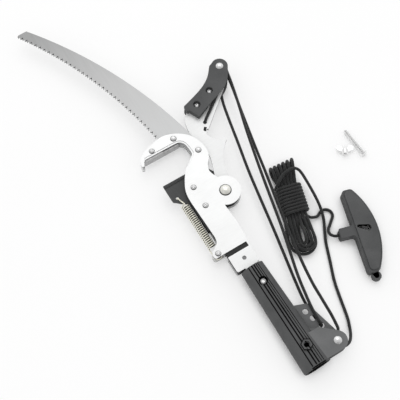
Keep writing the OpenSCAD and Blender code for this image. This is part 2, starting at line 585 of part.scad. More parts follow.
// column i of the row k, which is 1 above and -1 below
function foot_mid(k) = k > 0 ? 2.5 : 1.5;
function nest(i, k) = abs(i - foot_mid(k)) - 0.5;
function foot_side(i, k) = sign(i - foot_mid(k));
function foot_c(i, k) = k < 0 ? -4 : nest(i, k) < 1 ? -2 : 0;
function foot_r(i, k) = fold_r + (hank_step + 0.2) * (k < 0 ? nest(i, k) : max(nest(i, k) - 1, 0));
function foot_u(i, k) = k < 0 ? -73 : nest(i, k) < 1 ? tilt_u[1] : -74.2;
function lean(i, k) = k > 0 && nest(i, k) < 1 ? 75 : 0;
function foot_v(i, k) = foot_c(i, k) + foot_side(i, k) * foot_r(i, k) * cos(lean(i, k));
function top_u(i) = fan[1] + 0.3 * col(i);
function run_v(i, k, u) = col(i) + (foot_v(i, k) - col(i)) * ease((spread[0] - u) / (spread[0] - spread[1]))
    + 0.3 * col(i) * max(0, u - fan[0]) / (fan[1] - fan[0]);
function run_w(i, k, u) = k * (hank_step / 2
    + (fold_r - hank_step / 2) * ease((u - fan[0]) / (top_u(i) - fan[0])))
    + foot_side(i, k) * fold_r * sin(lean(i, k)) * ease((tilt_u[0] - u) / (tilt_u[0] - tilt_u[1]));
function on_run(i, k, u) = hk(u, run_v(i, k, u), run_w(i, k, u));
function rise(i, k) = [for (u = concat([foot_u(i, k)], [-64, -57, -50, -43, -34, -25, -15, 0, 15],
    [for (q = [0 : 0.25 : 1]) fan[0] + q * (top_u(i) - fan[0])])) on_run(i, k, u)];
function drop(i, k) = let (p = rise(i, k)) [for (j = [len(p) - 1 : -1 : 0]) p[j]];
function bight(i, k) = [for (a = [30 : 30 : 150]) let (u = top_u(i) + fold_r * sin(a))
    hk(u, run_v(i, k, u), k * fold_r * cos(a))];
function bend(i, j, k) = let (r = foot_r(i, k), q = foot_side(i, k) * r) [for (a = [30 : 30 : 150])
    hk(foot_u(i, k) - r * sin(a), foot_c(i, k) + q * cos(a) * cos(lean(i, k)),
        k * hank_step / 2 + q * cos(a) * sin(lean(i, k)))];
function lap(i, j, k) = concat(rise(i, k), bight(i, k), drop(i, -k), bend(i, j, -k));
along = [sin(hank_tilt), cos(hank_tilt), 0];
start_w = [-5.9, -5, -3.7];
hank_path = concat([for (q = [0 : 2]) let (u = [-36.4, -44, -52][q]) hk(u, run_v(-1, -1, u), start_w[q])],
    [on_run(-1, -1, -62), on_run(-1, -1, foot_u(-1, -1))], bend(-1, 4, -1), lap(4, 1, -1), lap(1, 2, 1),
    lap(2, 3, -1), lap(3, 0, 1), lap(0, 5, -1), rise(5, 1), bight(5, 1),
    [for (j = [0 : 8]) drop(5, -1)[j]]);
module rope_hank() color("#454848") {
    echo(hank_gap = least_gap(hank_path, 8, rope_d), hank_points = len(hank_path));
    tube(hank_path, rope_r, 6, [0, 0, 1], -along, -along);
}
wrap_n = 9;
wrap_pitch = rope_d + 0.6;
wrap_top = 22.5;
wrap_r = fold_r;
wrap_c = 2.5 * hank_step - sqrt(pow(wrap_r - rope_d - 0.65, 2) - pow(hank_step / 2, 2));
function wrap_vw(m) = m < 4 ? [-wrap_c + wrap_c * m / 2, wrap_r]
    : m < 12 ? [wrap_c + wrap_r * sin(22.5 * (m - 4)), wrap_r * cos(22.5 * (m - 4))]
    : m < 16 ? [wrap_c - wrap_c * (m - 12) / 2, -wrap_r]
    : [-wrap_c - wrap_r * sin(22.5 * (m - 16)), -wrap_r * cos(22.5 * (m - 16))];
function wrap(j) = let (q = wrap_vw(j % 24)) hk(wrap_top - wrap_pitch * (j - 7) / 24, -q[0], q[1]);
wrap_last = wrap_n * 24 + 7;
function wrap_out(a) = hk(wrap_top - wrap_pitch * wrap_n - fold_r * (1 - cos(a)), -wrap_c - wrap_r + 0.2,
    wrap_vw(7)[1] - fold_r * sin(a));
wrap_path = concat([for (j = [7 : wrap_last]) wrap(j)], [wrap_out(30), wrap_out(60), hank_path[0]]);
module rope_wraps() color("#454848") {
    echo(wrap_gap = least_gap(wrap_path, 10, rope_d));
    tube(wrap_path, rope_r, 6, [0.3, 1, 0], [0, 0, -1], -along);
}
low = table + rope_r + 0.1;
module rope_lead() color("#454848") tube(concat(
    [for (i = [0 : 4]) lead_bend(lead_a - i * (90 + lead_a) / 4)],
    [for (a = [90 : 18 : 252]) [lower_x + wind_r * cos(a), lower_y + wind_r * sin(a), 0]],
    curve([[lower_x + 1.5, lower_y - wind_r - 0.1, -0.1], [55, 5.5, -1], [64, 8.2, -6],
    [72, 15.5, -13], [79, 26, -18.5], [86, 42, low], [94, 72, low], [102, 99, low],
    [114.5, 128.5, low], [126.5, 157, low], [136, 174.5, low + 0.6], [144.5, 190, low + 3],
    [150, 206, low + 6], [153, 224, low + 9.5], [154.4, 243, low + 13], [154.8, 258, low + 16.3],
    [154.5, 270, low + 19.3], [152.8, 277.2, low + 21.7], [148.5, 281.9, low + 23.8],
    [142.5, 283.8, low + 24.8],
    [135, 283.6, low + 24.9], [127, 282.5, low + 24.6], [121, 280.2, low + 24], [115.8, 277.2, low + 23.3],
    [112.6, 275.2, low + 22.4], [109.8, 273.5, low + 20.2], [107.95, 272.4, low + 17],
    wrap_path[0]], 3)), rope_r, 8, [0, 0, 1], lead_dir, [0, 0, -1]);

// Pull handle on the table
handle_at = [183, 141];
handle_turn = -16.7;
handle_mid = table + handle_t / 2;
grip_r = 128;
grip_w = 24;
flat = -13.5;
module handle_frame() translate([handle_at.x, handle_at.y, handle_mid]) rotate(handle_turn) children();
function on_handle(t, s, z) = [handle_at.x + t * cos(handle_turn) - s * sin(handle_turn),
    handle_at.y + t * sin(handle_turn) + s * cos(handle_turn), handle_mid + z];
stem_end = flat - stem_l;
knot_t = 2.8;
module bar_outline(i) offset(r = 6) offset(delta = -6) intersection() {
    translate([grip_w - grip_r, 0]) circle(grip_r - i, $fn = 180);
    translate([flat + i, -handle_l / 2 + i]) square([60, handle_l - 2 * i]);
}
module handle_plan() offset(r = 2.5) offset(delta = -2.5) offset(r = -5) offset(delta = 5) {
    bar_outline(0);
    translate([stem_end, 2.5 - stem_w / 2]) square([stem_l + 10, stem_w]);
}
module pull_handle() color("#3a3d3d") handle_frame() difference() {
    union() {
        slab(-handle_t / 2, handle_t / 2) bar_outline(3);
        slab(-handle_t / 2 + 3, handle_t / 2 - 3) handle_plan();
    }
    // pocket of the knot in the underside, keyhole in the face
    translate([-6.2, 2.5 - 1.6 * rope_d, -handle_t]) cube([23.6, 3.7 * rope_d, handle_t + 1.13 * rope_d]);
    slab(2, handle_t) hull() {
        translate([8, 0.3]) circle(5);
        translate([-6, 6.2]) circle(2.4);
    }
    translate([stem_end - 1, 2.5, 0]) rotate([0, 90, 0]) cylinder(r = rope_r + 0.35, h = stem_l + 14);
}
module handle_knot() color("#454848") handle_frame() translate([-6.1, 2.5, 0]) rotate([0, -90, 0]) knot();
module handle_eye() color("#3a3d3d") handle_frame() difference() {
    translate([-3, -handle_l / 2 - 5.6, 0]) cylinder(r = 7.5, h = 8, center = true);
    translate([-3, -handle_l / 2 - 5.6, 0]) cylinder(r = 3.6, h = 9, center = true);
    translate([-20, -handle_l / 2, -10]) cube(40);
}
tail_dir = [cos(handle_turn), sin(handle_turn), 0];
tail_r = 2.25 * rope_d;
function tail_out(a) = hk(-26 - 12 * sin(a), col(5) + 0.2 + 12 * (1 - cos(a)),
    -hank_step / 2 - 2 * (1 - cos(a)));
function tail_in(a, z) = on_handle(stem_end - 2 + tail_r * cos(a), 2.5 + tail_r * (1 + sin(a)), z);
tail_loop = [for (a = [90 : -27.2 : -47]) [152.6 + 10.4 * cos(a), 194.6 + 10.4 * sin(a), low]];
tail_way = tail_in(150, 0) - tail_loop[5];
tail_rise = [-6.2, -4.5, -2.7, -1.1, -0.2];
module rope_tail() color("#454848") tube(concat(curve(concat([hank_path[len(hank_path) - 1]],
    [for (a = [30 : 30 : 90]) tail_out(a)], [[138.3, 200.4, low + 2.4], [142.9, 201.8, low + 0.5],
    [147.2, 204, low]], tail_loop, [for (i = [1 : 3]) [tail_loop[5].x + tail_way.x * i / 4,
        tail_loop[5].y + tail_way.y * i / 4, low + [0, 0.2, 0.8, 1.9][i]]],
    [for (i = [0 : 4]) tail_in(150 + 30 * i, tail_rise[i])], [on_handle(stem_end + 3, 2.5, 0)]), 3),
    [on_handle(-6, 2.5, 0)]), rope_r, 8, [0, 0, 1], -along, tail_dir);

// Loose clamp bolt and wing nut beside the head
bolt_d = 6;
bolt_at = [267, 254, table + 5];
module clamp_bolt() color("#dcdedb") translate(bolt_at) rotate(2.5) rotate([-90, 0, 0]) {
    translate([0, 0, -4]) cylinder(d = 10 / cos(30), h = 4, $fn = 6, center = false);
    cylinder(d = bolt_d, h = bolt_l);
}
module wing_nut() color("#dcdedb") translate([240.6, 266.8, table + 6.1]) rotate(-30)
    rotate([-90, 0, 0]) difference() {
    union() {
        cylinder(d1 = 12, d2 = 9, h = 8);
        for (k = [0, 1]) mirror([k, 0, 0]) translate([0, 1.2, 2]) rotate([90, 0, 0])
            linear_extrude(2.4) polygon(concat([[2, 0]], arc([wing_w / 2 - 4.5, 8], 4.5, -60, 130, 10),
                [[2, 6]]));
    }
    translate([0, 0, -e]) cylinder(d = bolt_d - 0.6, h = 30);
}

socket();
tang_core();
back_hook_plate();
front_hook_plate();
hook_block();
blade_guide_front();
blade_guide_back();
saw_blade();
beak_rivet();
saw_rivet();
plate_screws();
beak_screw();
ear_screw();
ear_sleeve();
screw_nuts();
pivot_rivet();
plate_pin();
tang_screw();
tang_nut();
lower_axle();
lower_pulley();
lever_arm();
cutting_blade();
blade_rivets();
front_cheek();
back_cheek();
cheek_screws();
cheek_nuts();
upper_axle();
front_pulley();
back_pulley();
return_spring();
anchor_knot();
rope_anchor();
rope_front_fall();
rope_eye_turn();
rope_back_fall();
rope_back_turn();
rope_lead_fall();
rope_lead();
rope_hank();
rope_wraps();
rope_tail();
pull_handle();
handle_knot();
handle_eye();
clamp_bolt();
wing_nut();
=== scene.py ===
from math import atan2, cos, hypot, pi, radians, sin, sqrt

import bmesh
import bpy
from mathutils import Matrix, Vector


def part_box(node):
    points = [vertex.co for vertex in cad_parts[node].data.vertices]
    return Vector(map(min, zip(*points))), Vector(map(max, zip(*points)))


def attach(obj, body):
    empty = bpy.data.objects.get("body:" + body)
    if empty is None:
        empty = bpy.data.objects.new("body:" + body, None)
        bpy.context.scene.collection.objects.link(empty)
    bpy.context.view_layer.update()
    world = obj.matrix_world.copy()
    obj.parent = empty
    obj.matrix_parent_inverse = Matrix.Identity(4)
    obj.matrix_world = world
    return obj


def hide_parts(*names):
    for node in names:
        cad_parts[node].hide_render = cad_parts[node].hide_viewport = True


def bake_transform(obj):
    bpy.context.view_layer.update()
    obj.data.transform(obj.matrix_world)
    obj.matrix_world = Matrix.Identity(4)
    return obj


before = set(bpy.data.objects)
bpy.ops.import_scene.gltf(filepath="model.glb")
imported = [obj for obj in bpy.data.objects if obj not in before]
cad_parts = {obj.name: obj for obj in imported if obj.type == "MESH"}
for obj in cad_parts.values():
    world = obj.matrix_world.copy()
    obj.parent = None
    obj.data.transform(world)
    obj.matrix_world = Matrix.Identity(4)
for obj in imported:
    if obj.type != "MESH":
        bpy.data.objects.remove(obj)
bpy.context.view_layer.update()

# Camera: above and to the left of the head, looking down on the table where the tool lies flat.
# The saw points to the upper left and the socket to the lower right.
camera_at = Vector((-0.2672, -0.1055, 1.2222))
camera_aim = Vector((-0.0043, 0.3235, -0.023))
camera_data = bpy.data.cameras.new("camera")
camera_data.lens = 75
camera_data.sensor_width = 36
camera = bpy.data.objects.new("camera", camera_data)
bpy.context.scene.collection.objects.link(camera)
camera.location = camera_at
camera.rotation_euler = (camera_aim - camera_at).to_track_quat("-Z", "Y").to_euler()
bpy.context.scene.camera = camera
bpy.context.scene.view_settings.view_transform = "Standard"

# Free rope: 4.8 mm braided cord that leaves the lower pulley, lies along the table, crosses the
# neck of the hank, binds it with nine turns, is laid in six bights and ends in the pull handle.
# Its route is in millimetres, with u along the hank, v across it and w upwards.
MM = 0.001
TABLE = -23.0
ROPE_D, CLEAR, STRAND_GAP, POINT_GAP = 4.8, 0.1, 0.6, 0.02
LOW = TABLE + ROPE_D / 2 + CLEAR
LOWER_AXLE = (45.5, 17.0)
WIND_R = 10.0
HANK_C = (119.0, 245.0)
HANK_TILT = radians(16.7)
HANK_STEP = ROPE_D + STRAND_GAP
NEST_STEP = HANK_STEP + 0.2
HANK_MID = 2.5
FOLD_R = 2 * ROPE_D
FOLD_ANGLES = [radians(30 * n) for n in range(1, 6)]
HANK_Z = TABLE + FOLD_R + ROPE_D / 2 + CLEAR
SPREAD = (-20.0, -66.0)
FAN, FAN_OUT = (25.0, 52.0), 0.3
RUN_U = (-64, -57, -50, -43, -34, -25, -15, 0, 15)
TILT_U, TILT_V, FOOT_LEAN = (-36.0, -68.0), -2.0, radians(75)
FOOT_LOW, FOOT_TOP = (-73.0, -4.0), (-74.2, 0.0)
WRAP_N, WRAP_STEPS, WRAP_FROM = 9, 24, 7
WRAP_PITCH, WRAP_TOP, WRAP_EASE = ROPE_D + STRAND_GAP, 22.5, 0.65
WRAP_C = (HANK_MID * HANK_STEP
          - sqrt((FOLD_R - ROPE_D - WRAP_EASE) ** 2 - (HANK_STEP / 2) ** 2))
HANDLE_AT = (183.0, 141.0)
HANDLE_TURN = radians(-16.7)
HANDLE_MID = TABLE + 12.0
STEM_END, STEM_S = -37.5, 2.5


def smooth_line(points, steps):
    """A smooth curve through the points, with that many steps from one to the next."""
    p = [Vector(q) for q in points]
    line = []
    for i in range(len(p) - 1):
        a, b, c, d = p[max(i - 1, 0)], p[i], p[i + 1], p[min(i + 2, len(p) - 1)]
        for k in range(steps):
            t = k / steps
            line.append(0.5 * (2 * b + (c - a) * t + (2 * a - 5 * b + 4 * c - d) * t * t
                               + (3 * b - a - 3 * c + d) * t ** 3))
    return line + [p[-1]]


def on_hank(u, v, w):
    """A point of the hank: along it, across it and above its middle."""
    return Vector((HANK_C[0] + u * sin(HANK_TILT) + v * cos(HANK_TILT),
                   HANK_C[1] + u * cos(HANK_TILT) - v * sin(HANK_TILT), HANK_Z + w))


def on_handle(t, s, z):
    """A point of the handle: along its stem, along its bar and above its middle."""
    return Vector((HANDLE_AT[0] + t * cos(HANDLE_TURN) - s * sin(HANDLE_TURN),
                   HANDLE_AT[1] + t * sin(HANDLE_TURN) + s * cos(HANDLE_TURN), HANDLE_MID + z))


def eased_share(t):
    """A share from 0 to 1 that starts and ends gently."""
    q = min(max(t, 0.0), 1.0)
    return q * q * (3 - 2 * q)


def column(i):
    """How far column i of the hank lies from its middle."""
    return (i - HANK_MID) * HANK_STEP


def foot(i, k):
    """The bend at the foot in the upper row (k = 1) or the lower (-1): place, middle, side,
    radius and lean. The bends nest in each other, and the innermost of the upper row stands up."""
    mid = HANK_MID if k > 0 else HANK_MID - 1
    nest, side = abs(i - mid) - 0.5, 1 if i > mid else -1
    if k < 0:
        return *FOOT_LOW, side, FOLD_R + nest * NEST_STEP, 0.0
    if nest < 1:
        return TILT_U[1], TILT_V, side, FOLD_R, FOOT_LEAN
    return *FOOT_TOP, side, FOLD_R + (nest - 1) * NEST_STEP, 0.0


def bight_u(i):
    """Where the bight of column i starts to turn."""
    return FAN[1] + FAN_OUT * column(i)


def run_v(i, k, u):
    """How far a run lies from the middle: fanned out at the head and drawn to its bend."""
    _, mid, side, r, lean = foot(i, k)
    share = eased_share((SPREAD[0] - u) / (SPREAD[0] - SPREAD[1]))
    return (column(i) + (mid + side * r * cos(lean) - column(i)) * share
            + FAN_OUT * column(i) * max(0, u - FAN[0]) / (FAN[1] - FAN[0]))


def on_run(i, k, u):
    """A point of a straight run of the hank."""
    _, _, side, r, lean = foot(i, k)
    opening = eased_share((u - FAN[0]) / (bight_u(i) - FAN[0]))
    w = k * (HANK_STEP / 2 + (FOLD_R - HANK_STEP / 2) * opening)
    w += side * r * sin(lean) * eased_share((TILT_U[0] - u) / (TILT_U[0] - TILT_U[1]))
    return on_hank(u, run_v(i, k, u), w)


def rise(i, k):
    """A run of the hank from its foot to its head."""
    ends = [FAN[0] + q / 4 * (bight_u(i) - FAN[0]) for q in range(5)]
    return [on_run(i, k, u) for u in (foot(i, k)[0], *RUN_U, *ends)]


def bight(i, k):
    """The fold at the head, on edge, from row k to the other row."""
    turn = [(bight_u(i) + FOLD_R * sin(a), FOLD_R * cos(a)) for a in FOLD_ANGLES]
    return [on_hank(u, run_v(i, k, u), k * w) for u, w in turn]


def foot_bend(i, k):
    """The bend at the foot, from column i to its partner."""
    u, mid, side, r, lean = foot(i, k)
    return [on_hank(u - r * sin(a), mid + side * r * cos(a) * cos(lean),
                    k * HANK_STEP / 2 + side * r * cos(a) * sin(lean)) for a in FOLD_ANGLES]


def lap(i, k):
    """Once up the hank, over its head, down in the other row and round its foot."""
    return rise(i, k) + bight(i, k) + rise(i, -k)[::-1] + foot_bend(i, -k)


def wrap_point(j):
    """Point j of the binding: over the hank, round one side, under it and round the other.
    Of the 24 steps in a turn, 4 lie flat above, 4 lie flat below and 8 go round each side."""
    m = j % WRAP_STEPS
    a = radians(22.5 * (m - 4 if m < 12 else m - 16))
    if m < 4:
        v, w = WRAP_C * (m / 2 - 1), FOLD_R
    elif m < 12:
        v, w = WRAP_C + FOLD_R * sin(a), FOLD_R * cos(a)
    elif m < 16:
        v, w = WRAP_C * (1 - (m - 12) / 2), -FOLD_R
    else:
        v, w = -WRAP_C - FOLD_R * sin(a), -FOLD_R * cos(a)
    return on_hank(WRAP_TOP - WRAP_PITCH * (j - WRAP_FROM) / WRAP_STEPS, -v, w)


lead_r, lead_a = 2 * ROPE_D, -14.5
lead_c = (LOWER_AXLE[0] + 4.25, LOWER_AXLE[1] + WIND_R + lead_r)
lead_turn = [Vector((lead_c[0] + lead_r * cos(a), lead_c[1] + lead_r * sin(a), 0))
             for a in [radians(lead_a - i * (90 + lead_a) / 8) for i in range(9)]]
lead_turn += [Vector((LOWER_AXLE[0] + WIND_R * cos(radians(a)),
                      LOWER_AXLE[1] + WIND_R * sin(radians(a)), 0)) for a in range(90, 253, 9)]
lead_run = smooth_line([
    (LOWER_AXLE[0] + 1.5, LOWER_AXLE[1] - WIND_R - 0.1, -0.1), (55, 5.5, -1), (64, 8.2, -6),
    (72, 15.5, -13), (79, 26, -18.5), (86, 42, LOW), (94, 72, LOW), (102, 99, LOW),
    (114.5, 128.5, LOW), (126.5, 157, LOW), (136, 174.5, LOW + 0.6), (144.5, 190, LOW + 3),
    (150, 206, LOW + 6), (153, 224, LOW + 9.5), (154.4, 243, LOW + 13), (154.8, 258, LOW + 16.3),
    (154.5, 270, LOW + 19.3), (152.8, 277.2, LOW + 21.7), (148.5, 281.9, LOW + 23.8),
    (142.5, 283.8, LOW + 24.8), (135, 283.6, LOW + 24.9), (127, 282.5, LOW + 24.6),
    (121, 280.2, LOW + 24), (115.8, 277.2, LOW + 23.3), (112.6, 275.2, LOW + 22.4),
    (109.8, 273.5, LOW + 20.2), (107.95, 272.4, LOW + 17), wrap_point(WRAP_FROM)], 6)
hank_line = [on_hank(u, run_v(-1, -1, u), w) for u, w in ((-36.4, -5.9), (-44, -5), (-52, -3.7))]
hank_line += [on_run(-1, -1, -62), on_run(-1, -1, foot(-1, -1)[0])] + foot_bend(-1, -1)
for i, k in ((4, -1), (1, 1), (2, -1), (3, 1), (0, -1)):
    hank_line += lap(i, k)
hank_line += rise(5, 1) + bight(5, 1) + rise(5, -1)[:5:-1]
wrap_line = [wrap_point(j) for j in range(WRAP_FROM, WRAP_N * WRAP_STEPS + WRAP_FROM + 1)]
wrap_line += [on_hank(WRAP_TOP - WRAP_PITCH * WRAP_N - FOLD_R * (1 - cos(a)),
                      0.2 - WRAP_C - FOLD_R,
                      FOLD_R * cos(radians(67.5)) - FOLD_R * sin(a)) for a in (pi / 6, pi / 3)]
wrap_line.append(hank_line[0])
tail_r, tail_c, tail_bend = 2.25 * ROPE_D, (152.6, 194.6), 10.4
off_u, off_r = -26, 12
tail_line = [hank_line[-1]]
tail_line += [on_hank(off_u - off_r * sin(a), column(5) + 0.2 + off_r * (1 - cos(a)),
                      -HANK_STEP / 2 - 2 * (1 - cos(a))) for a in (pi / 6, pi / 3, pi / 2)]
tail_line += [Vector(q) for q in ((138.3, 200.4, LOW + 2.4), (142.9, 201.8, LOW + 0.5),
                                  (147.2, 204, LOW))]
tail_line += [Vector((tail_c[0] + tail_bend * cos(a), tail_c[1] + tail_bend * sin(a), LOW))
              for a in [radians(90 - 27.2 * i) for i in range(6)]]
tail_in = [on_handle(STEM_END - 2 + tail_r * cos(a), STEM_S + tail_r * (1 + sin(a)), z)
           for a, z in zip([radians(150 + 30 * i) for i in range(5)],
                           (-6.2, -4.5, -2.7, -1.1, -0.2))]
tail_from = tail_line[-1]
tail_way = tail_in[0] - tail_from
tail_line += [Vector((tail_from.x + tail_way.x * i / 4, tail_from.y + tail_way.y * i / 4, LOW + z))
              for i, z in ((1, 0.2), (2, 0.8), (3, 1.9))]
tail_line += tail_in + [on_handle(STEM_END + 3, STEM_S, 0)]
free_line = lead_turn + lead_run + smooth_line(wrap_line, 2)[1:]
free_line += smooth_line(hank_line, 4)[1:] + smooth_line(tail_line, 6)[1:]
free_line += [on_handle(t, STEM_S, 0) for t in (-28, -17, -6)]


def rope_tube(name, line, radius=ROPE_D / 2, sides=12):
    """A round tube on the line, in millimetres, with a UV map round it and along it in metres."""
    p = [Vector(q) * MM for q in line]
    p = [q for i, q in enumerate(p) if i == 0 or (q - p[i - 1]).length > POINT_GAP * MM]
    last = len(p) - 1
    heading = [(p[min(i + 1, last)] - p[max(i - 1, 0)]).normalized() for i in range(last + 1)]
    across = heading[0].orthogonal().normalized()
    mesh = bmesh.new()
    rings, run = [], [0.0]
    for i, q in enumerate(p):
        across = (across - across.dot(heading[i]) * heading[i]).normalized()
        other = heading[i].cross(across)
        rings.append([mesh.verts.new(q + radius * MM * (cos(2 * pi * k / sides) * across
                                                        + sin(2 * pi * k / sides) * other))
                      for k in range(sides)])
        if i:
            run.append(run[-1] + (q - p[i - 1]).length)
    uv = mesh.loops.layers.uv.new("braid")
    for i in range(last):
        for k in range(sides):
            n = (k + 1) % sides
            face = mesh.faces.new((rings[i][k], rings[i][n], rings[i + 1][n], rings[i + 1][k]))
            face.smooth = True
            corners = ((k, i), (k + 1, i), (k + 1, i + 1), (k, i + 1))
            for loop, (u, v) in zip(face.loops, corners):
                loop[uv].uv = (u / sides, run[v])
    mesh.faces.new(list(reversed(rings[0])))
    mesh.faces.new(rings[-1])
    data = bpy.data.meshes.new(name)
    mesh.to_mesh(data)
    mesh.free()
    piece = bpy.data.objects.new(name, data)
    bpy.context.scene.collection.objects.link(piece)
    return piece, [tuple(q) for q in p], run[-1]


def node_maker(tree):
    """A maker of nodes in a tree, whose inputs are values or sockets to link."""
    def node(kind, inputs=None, **settings):
        made = tree.nodes.new(kind)
        for key, value in settings.items():
            setattr(made, key, value)
        for key, value in (inputs or {}).items():
            if isinstance(value, bpy.types.NodeSocket):
                tree.links.new(value, made.inputs[key])
            else:
                made.inputs[key].default_value = value
        return made

    return node


def new_finish(name):
    """A material with its node tree, its shader and a maker of nodes."""
    finish = bpy.data.materials.new(name)
    finish.use_nodes = True
    tree = finish.node_tree
    return finish, tree, tree.nodes["Principled BSDF"], node_maker(tree)


def colours(node, factor, *stops):
    """A colour ramp on the factor, with its stops as (place, colour)."""
    ramp = node("ShaderNodeValToRGB", {"Fac": factor})
    while len(ramp.color_ramp.elements) < len(stops):
        ramp.color_ramp.elements.new(1.0)
    for element, (place, colour) in zip(ramp.color_ramp.elements, stops):
        element.position = place
        element.color = (*colour, 1)
    return ramp.outputs["Color"]


def grey(value, tint=(1, 1, 1)):
    """A grey of that value, with a tint."""
    return tuple(value * t for t in tint)


# The braid has sixteen strands: two sets of diagonals that pass over and under each other.
BRAID_STRANDS, BRAID_LAY = 8, 400.0
braid, braid_tree, braid_shader, braid_node = new_finish("braided_cord")
braid_at = braid_node("ShaderNodeUVMap", uv_map="braid")
braid_split = braid_node("ShaderNodeSeparateXYZ", {"Vector": braid_at.outputs["UV"]})
around = braid_node("ShaderNodeMath", {0: braid_split.outputs["X"], 1: BRAID_STRANDS},
                    operation="MULTIPLY")
along = braid_node("ShaderNodeMath", {0: braid_split.outputs["Y"], 1: BRAID_LAY},
                   operation="MULTIPLY")
strands = []
for lay in ("ADD", "SUBTRACT"):
    lean = braid_node("ShaderNodeMath", {0: around.outputs[0], 1: along.outputs[0]}, operation=lay)
    crown = braid_node("ShaderNodeMath", {0: lean.outputs[0], 1: 0.5}, operation="PINGPONG")
    count = braid_node("ShaderNodeMath", {0: lean.outputs[0]}, operation="FLOOR")
    strands.append((crown.outputs[0], count.outputs[0]))
both = braid_node("ShaderNodeMath", {0: strands[0][1], 1: strands[1][1]}, operation="ADD")
over = braid_node("ShaderNodeMath", {0: both.outputs[0], 1: 1.0}, operation="PINGPONG")
crown = braid_node("ShaderNodeMix", {0: over.outputs[0], 2: strands[0][0], 3: strands[1][0]})
fluff = braid_node("ShaderNodeTexCoord").outputs["Object"]
hair = braid_node("ShaderNodeTexNoise", {"Vector": fluff, "Scale": 1800.0, "Detail": 3.0})
wear = braid_node("ShaderNodeTexNoise", {"Vector": fluff, "Scale": 70.0, "Detail": 2.0})
# Painted light and shade: the crowns of the strands are paler and the grooves between them darker,
# over a fine fibre noise; the dust mixed over it is real wear.
crown_and_fibre = braid_node("ShaderNodeMath", {0: crown.outputs[0], 1: hair.outputs["Fac"]},
                   operation="MULTIPLY")
braid_tone_and_shade = colours(braid_node, crown_and_fibre.outputs[0], (0.02, grey(0.008, (1, 1.03, 1.04))),
               (0.22, grey(0.026, (1, 1.03, 1.03))), (0.42, grey(0.068, (1, 1.02, 1.02))))
dusty = braid_node("ShaderNodeMix", {0: wear.outputs["Fac"], 6: (0.75, 0.76, 0.77, 1),
                                     7: (1.2, 1.2, 1.2, 1)}, data_type="RGBA")
braid_dust_and_shade = braid_node("ShaderNodeMix", {0: 1.0, 6: braid_tone_and_shade, 7: dusty.outputs[2]}, data_type="RGBA",
                  blend_type="MULTIPLY")
braid_tree.links.new(braid_dust_and_shade.outputs[2], braid_shader.inputs["Base Color"])
braid_lift = braid_node("ShaderNodeBump", {"Height": crown.outputs[0], "Strength": 0.9,
                                           "Distance": 0.0006})
braid_tree.links.new(braid_lift.outputs["Normal"], braid_shader.inputs["Normal"])
braid_shader.inputs["Roughness"].default_value = 0.72
braid_shader.inputs["Sheen Weight"].default_value = 0.15

free_rope, free_path, free_length = rope_tube("free_rope", free_line)
free_rope.data.materials.append(braid)
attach(free_rope, "head")
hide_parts("rope_lead", "rope_hank", "rope_wraps", "rope_tail")

# Running rope: the same cord, from its knot behind the lever over the front wheel, down to the
# third eye of the socket, through it and up over the back wheel, then down to the lower wheel. The
# three falls reach from the socket to the wheels.
UPPER_AXLE = (142.0, 500.0)
FRONT_Z, BACK_Z = 7.65, -3.65
FRONT_OFF, BACK_ON, BACK_OFF = -13.7, 168.7, -11.5
EYE_X, EYE_Y, EYE_TOP = 42.0, 54.0, 56.4
EYE_Z = (-3.7, -12.4)
ROPE_HOLE = (68.7, 427.0)
KNOT_R, KNOT_WIND, KNOT_DEEP, KNOT_L, KNOT_STEPS = 2.2, 2.9, 2.3, 4.4, 60
KNOT_END = (-7.2, -11.5, -2.7)


def on_wheel(turn, z, ahead=0.0):
    """A point on the rope's line round the upper wheels, or that far ahead on its tangent."""
    a = radians(turn)
    return Vector((UPPER_AXLE[0] + WIND_R * cos(a) + ahead * sin(a),
                   UPPER_AXLE[1] + WIND_R * sin(a) - ahead * cos(a), z))


def knot_line(place):
    """A stopper knot along -z below a hole: two and a half turns round the cord and a short end."""
    turns = [(KNOT_WIND * cos(radians(15 * i)), KNOT_WIND * sin(radians(15 * i)),
              -KNOT_DEEP - KNOT_L * i / KNOT_STEPS) for i in range(KNOT_STEPS + 1)]
    ways = [(0.7, -0.7, -0.2), (1.9, -0.6, -1.5)] + turns + [(-1.1, 0.5, -7.7), (0, 0, -8.3)]
    return [place(*q) for q in ways]


def joined(piece, other):
    """Makes another mesh a part of the piece."""
    bpy.ops.object.select_all(action="DESELECT")
    other.select_set(True)
    piece.select_set(True)
    bpy.context.view_layer.objects.active = piece
    bpy.ops.object.join()


start_line = smooth_line(
    [(*ROPE_HOLE, -0.2), (*ROPE_HOLE, 3.6), (70.5, 428.3, 6.7), (76, 433, 7.1), (95, 446.5, 7.3),
     (111, 459, 7.5), (122, 475, 7.6), on_wheel(196, FRONT_Z)]
    + [on_wheel(a, FRONT_Z) for a in range(180, 11, -14)] + [on_wheel(FRONT_OFF, FRONT_Z)], 6)
front_line = smooth_line(
    [on_wheel(FRONT_OFF, FRONT_Z), on_wheel(FRONT_OFF, FRONT_Z, 12),
     on_wheel(FRONT_OFF, FRONT_Z, 36), (132.4, 424, 6.5), (116.6, 372, 5.4), (96.8, 297, 3.6),
     (75.4, 209, 1), (55.2, 137, -1.6), (47.5, 101, -2.9), (43.5, 78, -3.5),
     (EYE_X, 61.4, EYE_Z[0]), (EYE_X, EYE_TOP, EYE_Z[0])], 12)
eye_r, eye_mid = (EYE_Z[0] - EYE_Z[1]) / 2, (EYE_Z[0] + EYE_Z[1]) / 2
eye_line = smooth_line(
    [(EYE_X, EYE_TOP, EYE_Z[0])]
    + [(EYE_X, EYE_Y + eye_r * cos(a), eye_mid + eye_r * sin(a))
       for a in [radians(90 + 22.5 * i) for i in range(9)]] + [(EYE_X, EYE_TOP, EYE_Z[1])], 4)
